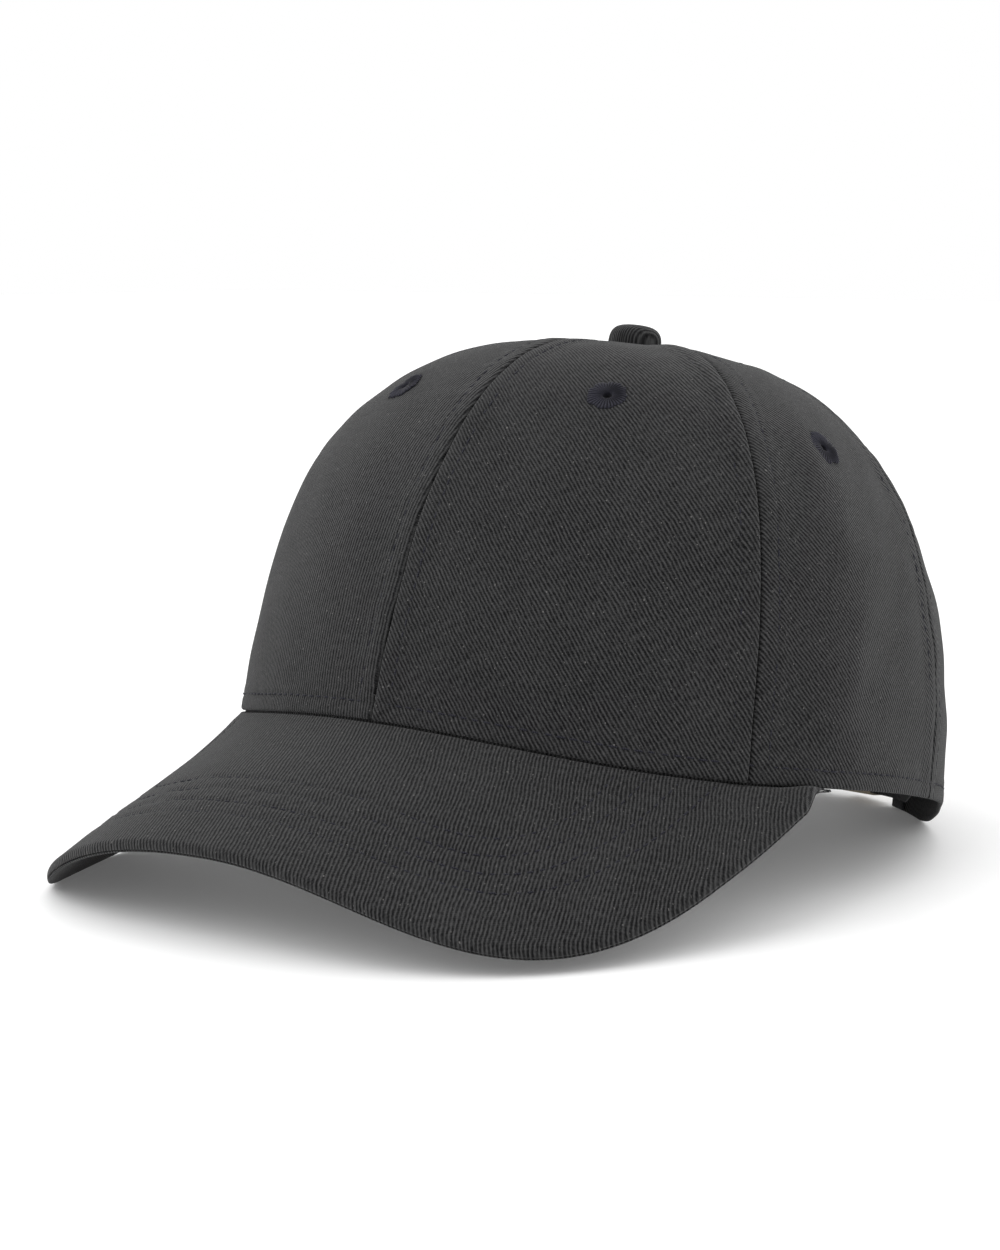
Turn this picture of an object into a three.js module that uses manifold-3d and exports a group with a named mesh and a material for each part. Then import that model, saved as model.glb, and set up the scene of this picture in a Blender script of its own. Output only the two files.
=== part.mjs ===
// A six-panel structured baseball cap, resting on a table on its rear hem and the two ends of its visor.
// Millimetres. +Z is up, the visor points to -Y, and the wearer's left is +X.
// The crown is worked out in its own frame, whose XY plane is the head opening, and is then tilted.
import * as THREE from "three";
import { mergeVertices } from "three/addons/utils/BufferGeometryUtils.js";
import Module from "manifold-3d";

const wasm = await Module();
wasm.setup();

const { cos, sin, tan, abs, min, max, hypot, PI } = Math;
const radians = THREE.MathUtils.degToRad;
const mix = THREE.MathUtils.lerp;
const smooth = THREE.MathUtils.smoothstep;

// ---- Crown: driving dimensions ----
const CROWN_LENGTH = 200; // outside, front to back along the head opening
const CROWN_WIDTH = 185; // outside, at the widest line
const CROWN_HEIGHT = 115; // head opening to the top, under the button
const FRONT_REACH = 78; // widest line to the front of the opening
const APEX_SETBACK = 11; // the button stands this far behind the widest line
const FRONT_SEAM_AZIMUTH = radians(63.5); // the front panels end here, counted from the front
const REAR_SEAM_AZIMUTH = radians(111); // the side panels end here
const FRONT_RISE = 10; // the hem's height over the opening at the front, left and right
const SIDE_RISE = 6.5;
const REST_LENGTH = 13; // of hem that lies on the table, beside each side of the rear opening
const SETTLE_LENGTH = 40; // over which the hem comes down to it
// A meridian of the crown is (reach ^ squareness) + (height ^ fullness) = 1.
const SQUARENESS = { front: 3.03, side: 2.9, rear: 1.88 };
const FULLNESS = { front: 1.95, side: 2.55, rear: 1.88 };

// ---- Cloth and layers ----
const PANEL_CLOTH = 0.9;
const BUCKRAM_CLOTH = 0.8;
const TAPE_CLOTH = 0.6;
const BINDING_CLOTH = 0.5;
const LAYER_GAP = 0.4; // between one layer and the next
const SEAM_GAP = 0.3; // between two panels that are sewn edge to edge
const TAPE_WIDTH = 13;
const BUCKRAM_MARGIN = 3.5; // the buckram stops this far inside each seam and the hem

// ---- Sweatband ----
const SWEATBAND_HEIGHT = 31;
const SWEATBAND_CLOTH = 0.7;
const PAD_THICKNESS = 1.2;
const SWEATBAND_LIFT = 1.5; // lower edge over the hem
const SWEATBAND_SHORT = 1; // it stops this far before the rear opening's edges
const SWEATBAND_TURN = 7; // the facing is turned over the pad's top by this much

const CHANNEL_RAMP = radians(16); // over which it bows in to leave the strap room

// ---- Visor ----
const VISOR_REACH = 61; // crown to front edge, along the middle
const VISOR_SLOPE = radians(20.9); // the middle line falls this much from the table's plane
const VISOR_ARCH_RADIUS = 115; // at the line where it meets the crown
const VISOR_ARCH_GROWTH = 0.0029; // the arch tightens towards the front edge, per mm
const VISOR_STANDOFF = 2; // the outline passes outside the crown's widest line by this much
const OUTLINE_SIDE_POWER = 4.5;
const OUTLINE_FRONT_POWER = 3.9;
const VISOR_CLOTH = 0.6;
const BOARD_THICKNESS = 1.6;
const VISOR_GAP = 0.3;
const EDGE_ROUNDING = 0.8; // of the turned cloth at the visor's edge
const VISOR_TUCK = 4; // runs this far in under the crown's wall
const VISOR_SETTLE = 20; // the sheet keeps the hem's line over this distance
const VISOR_TIP_REACH = 0.8; // what is left of the visor outside the wall, at its ends
const VISOR_END = radians(84);
const VISOR_TAPER_START = radians(74);
const VISOR_NARROW = 5; // the turned edge gets thinner where less than this is left outside the wall
const VISOR_RIBS = 28;
const BOARD_SHORT = 3; // the board stops this many ribs before each end of the covers
const HEM_CLEARANCE = 0.8; // between the visor's root and the crown's hem
const TABLE_PRESS = 0.25; // cloth that the table flattens under the hem
const VISOR_PRESS = 0.6; // and under the visor's rounded edge

// ---- Eyelets and button ----
const EYELET_RADIUS = 5.2;
const EYELET_BORE = 1.3;
const EYELET_WALL = 1; // thread round the hole's edge
const EYELET_STAND = 0.7;
const EYELET_ROUNDING = 0.4; // how far the rim leans in
const EYELET_SHOULDER = 0.7; // the height of the rim's and the hole's edges, as a share of the stand
const EYELET_DIP = 0.2; // the same at the bore
const EYELET_HEIGHTS = { front: 96, side: 90, rear: 90 };
const BUTTON_RADIUS = 7;
const BUTTON_HEIGHT = 5.8;
const BUTTON_CLOTH = 0.6;
const SHELL_METAL = 0.5;
const SHANK_RADIUS = 1.1;
const WASHER_RADIUS = 5.5;
const WASHER_THICKNESS = 0.6;
const APEX_HOLE = 1.6;
const APEX_CLEARANCE = 0.5; // the panels' points stop this far outside the hole
const BUTTON_FLATNESS = 0.7; // 1 is a round dome, and less is flatter on top
const RIVET_FOOT = 1; // the flange under the washer reaches this far past the shank
const RIVET_HEAD = 1.2; // and the head, inside the shell, this far
const RIVET_HEAD_THICKNESS = 0.8;

// ---- Rear opening and closure ----
const ARCH_WIDTH = 76;
const ARCH_HEIGHT = 48; // over the head opening's plane
const ARCH_SPRING = 16; // the sides are straight up to here
const BINDING_WIDTH = 6;
const STRAP_WIDTH = 18;
const STRAP_THICKNESS = 1.2;
const STRAP_LIFT = 2.6; // lower edge over the head opening's plane
const STRAP_SEWN_OVERLAP = 20; // behind the wearer's right-hand corner at rest
const STRAP_TAIL = 28; // tucked behind the wearer's left-hand corner at rest
const STRAP_TRAVEL = 12; // each way
const KEEPER_THICKNESS = 0.8;
const KEEPER_OVERLAP = 8; // behind the corner
const KEEPER_TOP_LEG = 3; // short leg of the loop over the bar
const BAR_RADIUS = 0.7;
const BUCKLE_LENGTH = 15;
const BUCKLE_CHEEK = 1.2;
const BUCKLE_PLATE = 0.8;
const BUCKLE_CLEARANCE = 0.6;
const PIN_RADIUS = 0.6;
const PIN_CLEARANCE = 0.1;
const PIN_INSET = 2; // from the frame's end to the pin
const PIN_STAND = 0.3; // the pin's riveted ends stand out of the frame
const LEVER_PLATE = 0.8;

// ---- Label ----
const LABEL_WIDTH = 24;
const LABEL_HEIGHT = 16;
const LABEL_THICKNESS = 0.4;
const LABEL_GAP = 2; // over the sweatband

// ---- Sizes that follow ----
const rearReach = CROWN_LENGTH - FRONT_REACH;
const halfWidth = CROWN_WIDTH / 2;
const visorThickness = 2 * VISOR_CLOTH + 2 * VISOR_GAP + BOARD_THICKNESS;
const buckramDepth = PANEL_CLOTH + LAYER_GAP;
const frontTapeDepth = buckramDepth + BUCKRAM_CLOTH + LAYER_GAP;
const rearTapeDepth = PANEL_CLOTH + LAYER_GAP;
const sweatbandDepth = frontTapeDepth + TAPE_CLOTH + LAYER_GAP;
const bindingDepth = PANEL_CLOTH + LAYER_GAP;
const strapDepth = bindingDepth + BINDING_CLOTH + LAYER_GAP + KEEPER_THICKNESS + LAYER_GAP;

// Evenly spaced values from one end to the other, both included.
function evenly(steps, from, to) {
  return [...Array(steps + 1).keys()].map((i) => mix(from, to, i / steps));
}

// ---- The visor's outline, in its own plane: x across, v forward of the crown ----
const visorAlong = new THREE.Vector3(0, -cos(VISOR_SLOPE), -sin(VISOR_SLOPE));
const visorUp = new THREE.Vector3(0, -sin(VISOR_SLOPE), cos(VISOR_SLOPE));

function archDrop(x, v) {
  return (x * x * Math.exp(VISOR_ARCH_GROWTH * v)) / (2 * VISOR_ARCH_RADIUS);
}

function outlineSpot(bearing, centreV) {
  const sideReach = halfWidth + VISOR_STANDOFF;
  const frontReach = VISOR_REACH - centreV;
  let low = 0;
  let high = sideReach + frontReach;
  for (let i = 0; i < 40; i++) {
    const r = (low + high) / 2;
    const across = (r * abs(sin(bearing))) / sideReach;
    const forward = (r * max(cos(bearing), 0)) / frontReach;
    if (across ** OUTLINE_SIDE_POWER + forward ** OUTLINE_FRONT_POWER < 1) low = r;
    else high = r;
  }
  return { x: low * sin(bearing), v: centreV + low * cos(bearing) };
}

const ribBearings = evenly(VISOR_RIBS, -VISOR_END, VISOR_END);

// The visor's ends stand on the table, so its root is as high as its arch makes it.
function rootHeight(centreV) {
  let lowest = Infinity;
  for (const bearing of ribBearings) {
    const { x, v } = outlineSpot(bearing, centreV);
    lowest = min(lowest, -v * sin(VISOR_SLOPE) - archDrop(x, v) * cos(VISOR_SLOPE));
  }
  return visorThickness * cos(VISOR_SLOPE) - VISOR_PRESS - lowest;
}

const outlineCentre = -FRONT_REACH / cos(VISOR_SLOPE);
const visorRootHeight = rootHeight(outlineCentre);
// The crown tips back until its front hem meets the visor's root and its rear hem meets the table.
const hemLift = FRONT_RISE - HEM_CLEARANCE;
const hemLine = hypot(CROWN_LENGTH, hemLift);
const openingTilt = Math.asin(visorRootHeight / hemLine) - Math.atan2(hemLift, CROWN_LENGTH);

const crownUp = new THREE.Vector3(0, sin(openingTilt), cos(openingTilt));
const crownBack = new THREE.Vector3(0, cos(openingTilt), -sin(openingTilt));
const crownToTable = new THREE.Matrix4()
  .makeBasis(new THREE.Vector3(1, 0, 0), crownBack, crownUp)
  .setPosition(0, 0, rearReach * sin(openingTilt));

// ---- The crown's surface ----
function facing(sizes, azimuth) {
  const front = max(cos(azimuth), 0) ** 2;
  const rear = max(-cos(azimuth), 0) ** 2;
  return sizes.front * front + sizes.rear * rear + sizes.side * (1 - front - rear);
}

function reachOf(azimuth) {
  return cos(azimuth) > 0 ? FRONT_REACH : rearReach;
}

// climb is the angle up a meridian: 0 at the opening, a right angle at the apex.
function shareAt(azimuth, climb) {
  return max(cos(climb), 0) ** (2 / facing(SQUARENESS, azimuth));
}

function heightAt(azimuth, climb) {
  return CROWN_HEIGHT * sin(climb) ** (2 / facing(FULLNESS, azimuth));
}

function climbToHeight(azimuth, height) {
  const level = THREE.MathUtils.clamp(height / CROWN_HEIGHT, 0, 1);
  return Math.asin(level ** (facing(FULLNESS, azimuth) / 2));
}

function climbToShare(azimuth, share) {
  return Math.acos(share ** (facing(SQUARENESS, azimuth) / 2));
}

// The share of the opening's reach that is left at a height.
function shrink(azimuth, height) {
  return shareAt(azimuth, climbToHeight(azimuth, height));
}

function surfacePoint(azimuth, height) {
  const share = shrink(azimuth, height);
  return new THREE.Vector3(
    share * halfWidth * sin(azimuth),
    APEX_SETBACK * (1 - share) - share * reachOf(azimuth) * cos(azimuth),
    height,
  );
}

function surfaceNormal(azimuth, height) {
  const step = 0.01;
  const across = surfacePoint(azimuth + step, height).sub(surfacePoint(azimuth - step, height));
  const share = shrink(azimuth, height);
  const level = THREE.MathUtils.clamp(height / CROWN_HEIGHT, 0, 1);
  const squareness = facing(SQUARENESS, azimuth);
  const fullness = facing(FULLNESS, azimuth);
  const inward = (fullness / CROWN_HEIGHT) * level ** (fullness - 1);
  const rising = new THREE.Vector3(
    -inward * halfWidth * sin(azimuth),
    inward * (APEX_SETBACK + reachOf(azimuth) * cos(azimuth)),
    squareness * share ** (squareness - 1),
  );
  return across.cross(rising).normalize();
}

// A point at a depth under the crown's outside, in the crown's frame.
function crownPoint(azimuth, height, depth = 0) {
  return surfacePoint(azimuth, height).addScaledVector(surfaceNormal(azimuth, height), -depth);
}

function tablePoint(azimuth, height, depth = 0) {
  return crownPoint(azimuth, height, depth).applyMatrix4(crownToTable);
}

function widthPerRadian(azimuth, height) {
  const step = 0.01;
  return surfacePoint(azimuth + step, height).distanceTo(surfacePoint(azimuth - step, height)) / (2 * step);
}

// The rear hem dips to lie along the table from here to the opening.
const archEdgeAzimuth = PI - Math.asin(ARCH_WIDTH / 2 / halfWidth);
const restStart = archEdgeAzimuth - REST_LENGTH / widthPerRadian(archEdgeAzimuth, 0);
const settleStart = restStart - SETTLE_LENGTH / widthPerRadian(restStart, 0);

function hem(azimuth) {
  const away = abs(azimuth);
  const rise = FRONT_RISE * max(cos(away), 0) ** 2 + SIDE_RISE * sin(away) ** 4;
  const table = -tan(openingTilt) * rearReach * (1 + cos(away)) - TABLE_PRESS;
  return mix(rise, table, smooth(away, settleStart, restStart));
}

// ---- Making and cutting solids ----
function enclosedVolume(geometry) {
  const place = geometry.getAttribute("position");
  const corners = [0, 1, 2].map(() => new THREE.Vector3());
  let volume = 0;
  for (let i = 0; i < geometry.index.count; i += 3) {
    corners.forEach((corner, k) => corner.fromBufferAttribute(place, geometry.index.getX(i + k)));
    volume += corners[0].dot(corners[1].cross(corners[2])) / 6;
  }
  return volume;
}

// A closed body through rings of equal count. A ring is a thin section: one rail out and the other
// rail back, so the two ends close as a strip of faces between the rails.
function loft(rings) {
  const count = rings[0].length;
  const faces = [];
  for (let i = 0; i + 1 < rings.length; i++) {
    for (let j = 0; j < count; j++) {
      const a = i * count + j;
      const b = i * count + ((j + 1) % count);
      // Both rails' faces are split along the same diagonal, so that layers stay parallel.
      if (j < count / 2) faces.push(a, b, a + count, b, b + count, a + count);
      else faces.push(a, b, b + count, a, b + count, a + count);
    }
  }
  const last = (rings.length - 1) * count;
  for (let j = 0; j + 1 < count / 2; j++) {
    const [a, b, c, d] = [j, j + 1, count - 2 - j, count - 1 - j];
    faces.push(a, c, b, a, d, c);
    faces.push(last + a, last + b, last + c, last + a, last + c, last + d);
  }
  const geometry = new THREE.BufferGeometry().setFromPoints(rings.flat());
  geometry.setIndex(faces);
  if (enclosedVolume(geometry) < 0) {
    for (let i = 0; i < faces.length; i += 3) [faces[i], faces[i + 1]] = [faces[i + 1], faces[i]];
    geometry.setIndex(faces);
  }
  return geometry;
}

function toSolid(geometry) {
  const plain = geometry.clone();
  plain.deleteAttribute("normal");
  plain.deleteAttribute("uv");
  const merged = mergeVertices(plain, 1e-4);
  return new wasm.Manifold(
    new wasm.Mesh({
      numProp: 3,
      vertProperties: new Float32Array(merged.getAttribute("position").array),
      triVerts: new Uint32Array(merged.index.array),
    }),
  );
}

function toGeometry(solid) {
  const mesh = solid.getMesh();
  return new THREE.BufferGeometry()
    .setAttribute("position", new THREE.BufferAttribute(mesh.vertProperties, 3))
    .setIndex(new THREE.BufferAttribute(mesh.triVerts, 1));
}

function cut(geometry, ...tools) {
  return toGeometry(tools.reduce((solid, tool) => solid.subtract(toSolid(tool)), toSolid(geometry)));
}

function join(geometry, ...others) {
  return toGeometry(others.reduce((solid, other) => solid.add(toSolid(other)), toSolid(geometry)));
}

const table = new THREE.BoxGeometry(4 * CROWN_LENGTH, 4 * CROWN_LENGTH, 40).translate(0, 0, -20);

// ---- Finishes ----
const finish = (color, roughness, metalness = 0) =>
  new THREE.MeshStandardMaterial({ color, roughness, metalness, flatShading: true });
const FINISHES = {
  twill: () => finish(0x37373a, 0.95),
  buckram: () => finish(0xc9c8c2, 0.9),
  tape: () => finish(0x2a2a2d, 0.85),
  thread: () => finish(0x2b2a31, 0.7),
  foam: () => finish(0xd8d5cb, 0.95),
  board: () => finish(0xe6e6e2, 0.6),
  metal: () => finish(0x9a968c, 0.35, 1),
  label: () => finish(0xdedcd6, 0.8),
};

const cap = new THREE.Group();
const crown = new THREE.Group();
const visor = new THREE.Group();
const closure = new THREE.Group();
cap.add(crown, visor, closure);

function piece(group, name, geometry, material) {
  const mesh = new THREE.Mesh(geometry, FINISHES[material]());
  mesh.name = name;
  group.add(mesh);
  return mesh;
}

// ---- Crown shells: panels, buckram and the label ----
// Every shell and tape has its rows at the same climbs, so that their faces lie parallel.
const CLIMB_ROWS = 15;
const ROW_MARGIN = 0.03;
const commonClimbs = evenly(CLIMB_ROWS, 0, PI / 2);

// Climbs from each of two edges, given as functions of azimuth, with the common rows between.
function climbRows(azimuths, bottomOf, topOf) {
  const lowest = max(...azimuths.map(bottomOf)) + ROW_MARGIN;
  const highest = min(...azimuths.map(topOf)) - ROW_MARGIN;
  const between = commonClimbs.filter((climb) => climb > lowest && climb < highest);
  return (azimuth) => [bottomOf(azimuth), ...between, topOf(azimuth)];
}

// low is the lower edge over the hem, topShare is how near the apex the shell comes.
function crownShell({ from, to, inset, low, topShare, depth, thickness, columns }) {
  const azimuths = evenly(columns, from, to);
  const bottomOf = (azimuth) => climbToHeight(azimuth, hem(azimuth) + low);
  const topOf = (azimuth) => climbToShare(azimuth, topShare);
  const rowsAt = climbRows(azimuths, bottomOf, topOf);
  const rings = azimuths.map((straight, i) => {
    const heights = rowsAt(straight).map((climb) => heightAt(straight, climb));
    heights[0] = hem(straight) + low;
    const spots = heights.map((height) => {
      const trim = inset / widthPerRadian(straight, height);
      return [mix(from + trim, to - trim, i / columns), height];
    });
    return [
      ...spots.map(([azimuth, height]) => tablePoint(azimuth, height, depth)),
      ...spots.toReversed().map(([azimuth, height]) => tablePoint(azimuth, height, depth + thickness)),
    ];
  });
  return loft(rings);
}

const PANELS = [
  { name: "front", from: 0, to: FRONT_SEAM_AZIMUTH, columns: 9 },
  { name: "side", from: FRONT_SEAM_AZIMUTH, to: REAR_SEAM_AZIMUTH, columns: 7 },
  { name: "rear", from: REAR_SEAM_AZIMUTH, to: PI, columns: 11 },
];
const panelTopShare = (APEX_HOLE + APEX_CLEARANCE) / FRONT_REACH;

// The rear opening, as a flat outline: grow moves it out from the opening's edge.
function archSpot(turn, grow) {
  // turn runs 0..1..2..3: up the right leg, over the bow, down the left leg.
  const half = ARCH_WIDTH / 2 + grow;
  const bow = ARCH_HEIGHT - ARCH_SPRING + grow;
  if (turn < 1) return { x: -half, rise: turn };
  if (turn > 2) return { x: half, rise: 3 - turn };
  const angle = PI * (2 - turn);
  return { x: half * cos(angle), rise: 1, bow: bow * sin(angle) };
}

const BOW_STEPS = 18;

function archCutter() {
  const shape = new THREE.Shape();
  const half = ARCH_WIDTH / 2;
  shape.moveTo(-half, -CROWN_HEIGHT);
  for (const turn of evenly(BOW_STEPS, 2, 1)) {
    const { x, bow } = archSpot(turn, 0);
    shape.lineTo(-x, ARCH_SPRING + bow);
  }
  shape.lineTo(half, -CROWN_HEIGHT);
  const block = new THREE.ExtrudeGeometry(shape, { depth: CROWN_LENGTH, bevelEnabled: false });
  return block.rotateX(PI / 2).translate(0, 1.5 * CROWN_LENGTH, 0).applyMatrix4(crownToTable);
}

function onSurface(azimuth, height, geometry) {
  const place = tablePoint(azimuth, height);
  const outward = surfaceNormal(azimuth, height).transformDirection(crownToTable);
  const turn = new THREE.Quaternion().setFromUnitVectors(new THREE.Vector3(0, 1, 0), outward);
  return geometry.applyQuaternion(turn).translate(place.x, place.y, place.z);
}

const EYELET_SIDES = 12;

function eyeletHole(azimuth, height) {
  const radius = EYELET_BORE + EYELET_WALL + SEAM_GAP;
  const drill = new THREE.CylinderGeometry(radius, radius, 4 * buckramDepth, EYELET_SIDES);
  return onSurface(azimuth, height, drill);
}

function eyelet(azimuth, height, through) {
  const foot = SEAM_GAP;
  const head = foot + EYELET_STAND;
  const shoulder = mix(foot, head, EYELET_SHOULDER);
  const outside = EYELET_BORE + EYELET_WALL;
  const profile = [
    [EYELET_BORE, -through],
    [outside, -through],
    [outside, foot],
    [EYELET_RADIUS, foot],
    [EYELET_RADIUS - EYELET_ROUNDING, shoulder],
    [mix(outside, EYELET_RADIUS, 0.5), head],
    [outside, shoulder],
    [EYELET_BORE, mix(foot, head, EYELET_DIP)],
    [EYELET_BORE, -through],
  ].map(([x, y]) => new THREE.Vector2(x, y));
  return onSurface(azimuth, height, new THREE.LatheGeometry(profile, EYELET_SIDES));
}

const SIDES = [
  { side: "left", sign: 1 },
  { side: "right", sign: -1 },
];

for (const { side, sign } of SIDES) {
  for (const { name, from, to, columns } of PANELS) {
    const middle = (sign * (from + to)) / 2;
    const height = EYELET_HEIGHTS[name];
    const shell = crownShell({
      from: sign * from,
      to: sign * to,
      inset: (sign * SEAM_GAP) / 2,
      low: 0,
      topShare: panelTopShare,
      depth: 0,
      thickness: PANEL_CLOTH,
      columns,
    });
    const tools = [eyeletHole(middle, height)];
    if (name === "rear") tools.push(archCutter(), table);
    piece(crown, `${side}_${name}_panel`, cut(shell, ...tools), "twill");
    const lining = name === "front" ? buckramDepth + BUCKRAM_CLOTH : PANEL_CLOTH;
    piece(crown, `${side}_${name}_eyelet`, eyelet(middle, height, lining + LAYER_GAP / 2), "thread");
    if (name === "front") {
      const stiffener = crownShell({
        from: sign * from,
        to: sign * to,
        inset: sign * BUCKRAM_MARGIN,
        low: BUCKRAM_MARGIN,
        topShare: (WASHER_RADIUS + 2 * BUCKRAM_MARGIN) / FRONT_REACH,
        depth: buckramDepth,
        thickness: BUCKRAM_CLOTH,
        columns: 8,
      });
      piece(crown, `${side}_front_buckram`, cut(stiffener, eyeletHole(middle, height)), "buckram");
    }
  }
}

// ---- Seam tapes ----
// A tape narrows towards the apex so that the six of them lie side by side there.
function seamTape(azimuth, neighbour, depth, bottom) {
  const topShare = (WASHER_RADIUS + BUCKRAM_MARGIN) / FRONT_REACH;
  const bottomOf = () => climbToHeight(azimuth, bottom);
  const topOf = () => climbToShare(azimuth, topShare);
  const climbs = climbRows([azimuth], bottomOf, topOf)(azimuth);
  const rings = climbs.map((climb) => {
    const middle = crownPoint(azimuth, heightAt(azimuth, climb), depth);
    const reach = hypot(middle.x, middle.y - APEX_SETBACK);
    const half = min(TAPE_WIDTH / 2, reach * sin(neighbour / 2) - LAYER_GAP);
    const spread = half / widthPerRadian(azimuth, middle.z);
    const across = [-1, 0, 1].map((k) => azimuth + k * spread);
    return [
      ...across.map((a) => tablePoint(a, heightAt(a, climb), depth)),
      ...across.toReversed().map((a) => tablePoint(a, heightAt(a, climb), depth + TAPE_CLOTH)),
    ];
  });
  return loft(rings);
}

function bearingOf(azimuth) {
  return Math.atan2(halfWidth * sin(azimuth), APEX_SETBACK + reachOf(azimuth) * cos(azimuth));
}

const seamSpread = min(
  bearingOf(FRONT_SEAM_AZIMUTH),
  bearingOf(REAR_SEAM_AZIMUTH) - bearingOf(FRONT_SEAM_AZIMUTH),
  PI - bearingOf(REAR_SEAM_AZIMUTH),
);
const tapeFoot = (azimuth) => hem(azimuth) + BUCKRAM_MARGIN;
piece(crown, "front_centre_tape", seamTape(0, seamSpread, frontTapeDepth, tapeFoot(0)), "tape");
piece(
  crown,
  "rear_centre_tape",
  seamTape(PI, seamSpread, rearTapeDepth, ARCH_HEIGHT + BINDING_WIDTH + 2 * LAYER_GAP),
  "tape",
);
for (const { side, sign } of SIDES) {
  const front = sign * FRONT_SEAM_AZIMUTH;
  const rear = sign * REAR_SEAM_AZIMUTH;
  piece(crown, `${side}_front_tape`, seamTape(front, seamSpread, frontTapeDepth, tapeFoot(front)), "tape");
  piece(crown, `${side}_rear_tape`, seamTape(rear, seamSpread, rearTapeDepth, tapeFoot(rear)), "tape");
}

// ---- Binding round the rear opening ----
function archSurfacePoint(turn, grow, depth) {
  const { x, rise, bow = 0 } = archSpot(turn, grow);
  let height = ARCH_SPRING + bow;
  let azimuth = PI - Math.asin(x / halfWidth);
  for (let i = 0; i < 12; i++) {
    azimuth = PI - Math.asin(THREE.MathUtils.clamp(x / (halfWidth * shrink(azimuth, height)), -1, 1));
    const mirrored = azimuth > PI ? 2 * PI - azimuth : azimuth;
    if (rise < 1) height = mix(hem(mirrored) + SEAM_GAP + TABLE_PRESS, ARCH_SPRING, rise);
  }
  return tablePoint(azimuth, height, depth);
}

const bindingFold = LAYER_GAP + BINDING_CLOTH;
const bindingSection = [
  [BINDING_WIDTH, -bindingFold],
  [-bindingFold, -bindingFold],
  [-bindingFold, bindingDepth + BINDING_CLOTH],
  [BINDING_WIDTH, bindingDepth + BINDING_CLOTH],
  [BINDING_WIDTH, bindingDepth],
  [-LAYER_GAP, bindingDepth],
  [-LAYER_GAP, -LAYER_GAP],
  [BINDING_WIDTH, -LAYER_GAP],
];
const archTurns = [0, 0.5, ...evenly(BOW_STEPS, 1, 2), 2.5, 3];
const bindingRings = archTurns.map((turn) =>
  bindingSection.map(([grow, depth]) => archSurfacePoint(turn, grow, depth)),
);
piece(crown, "rear_opening_binding", cut(loft(bindingRings), table), "tape");

// ---- Closure strap: a conical band about an upright axis, so that it slides along itself ----
const strapTop = STRAP_LIFT + STRAP_WIDTH;
const cornerChord = ARCH_WIDTH / 2 + STRAP_TAIL; // how far round the strap has to follow the wall
const chordSag = rearReach * (1 - (1 - (cornerChord / halfWidth) ** 2) ** 0.5);
const strapCurve = (cornerChord ** 2 + chordSag ** 2) / (2 * chordSag);
const strapAxisY = rearReach - strapCurve;

// Distance from the strap's axis to the crown's outside, at a bearing from straight back.
function wallReach(bearing, height) {
  let low = 0;
  let high = CROWN_LENGTH;
  for (let i = 0; i < 40; i++) {
    const r = (low + high) / 2;
    const x = r * sin(bearing);
    const y = strapAxisY + r * cos(bearing);
    const azimuth = Math.atan2(x / halfWidth, -y / rearReach);
    const share = shrink(azimuth, height);
    const centred = y - APEX_SETBACK * (1 - share);
    const inside = (x / (share * halfWidth)) ** 2 + (centred / (share * rearReach)) ** 2 < 1;
    if (inside) low = r;
    else high = r;
  }
  return low;
}

const archEdgeBearing = Math.asin(ARCH_WIDTH / 2 / strapCurve);
const tailReach = archEdgeBearing + (STRAP_TAIL + STRAP_TRAVEL) / strapCurve;
const bearings = evenly(24, 0, tailReach);
const nearestWall = (height) => min(...bearings.map((b) => wallReach(b, height)));
const farthestWall = (height) => max(...bearings.map((b) => wallReach(b, height)));
const strapFootRadius = nearestWall(STRAP_LIFT) - strapDepth;
const strapHeadRadius = nearestWall(strapTop) - strapDepth;
const strapLean = (strapFootRadius - strapHeadRadius) / STRAP_WIDTH;
const strapRadius = (height) => strapFootRadius - strapLean * (height - STRAP_LIFT);

// out is counted from the strap's outer face, along is arc length at that face from the bearing.
function strapPoint(bearing, height, out) {
  const r = strapRadius(height) + out;
  const place = new THREE.Vector3(r * sin(bearing), strapAxisY + r * cos(bearing), height);
  return place.applyMatrix4(crownToTable);
}

function strapBand({ from, to, low, high, inner, outer, steps }) {
  const section = [
    [low, outer],
    [high, outer],
    [high, inner],
    [low, inner],
  ];
  const rings = evenly(steps, from, to).map((bearing) =>
    section.map(([height, out]) => strapPoint(bearing, height, out)),
  );
  return loft(rings);
}

piece(
  closure,
  "closure_strap",
  strapBand({
    from: -archEdgeBearing - STRAP_SEWN_OVERLAP / strapCurve,
    to: archEdgeBearing + STRAP_TAIL / strapCurve,
    low: STRAP_LIFT,
    high: strapTop,
    inner: -STRAP_THICKNESS,
    outer: 0,
    steps: 36,
  }),
  "twill",
);

// ---- Buckle, beside the wearer's left-hand corner ----
const wrapRadius = BAR_RADIUS + PIN_CLEARANCE + LAYER_GAP / 2;
const barOut = LAYER_GAP + KEEPER_THICKNESS + wrapRadius; // over the strap's curved face
const barAlong = BUCKLE_LENGTH / 2 - BAR_RADIUS; // to the bar that the keeper loops round
const wrapOuter = wrapRadius + KEEPER_THICKNESS;
const buckleBearing =
  archEdgeBearing - (barAlong + KEEPER_TOP_LEG + 2 * LAYER_GAP + BINDING_CLOTH) / strapFootRadius;
const strapMiddle = (STRAP_LIFT + strapTop) / 2;
const buckleOrigin = strapPoint(buckleBearing, strapMiddle, 0);
const buckleUp = strapPoint(buckleBearing, strapTop, 0).sub(buckleOrigin).normalize();
const buckleAlong = strapPoint(buckleBearing + 0.01, strapMiddle, 0)
  .sub(strapPoint(buckleBearing - 0.01, strapMiddle, 0))
  .normalize();
const buckleOut = buckleUp.clone().cross(buckleAlong).normalize();
const bucklePlace = new THREE.Matrix4().makeBasis(buckleAlong, buckleOut, buckleUp).setPosition(buckleOrigin);

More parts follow.
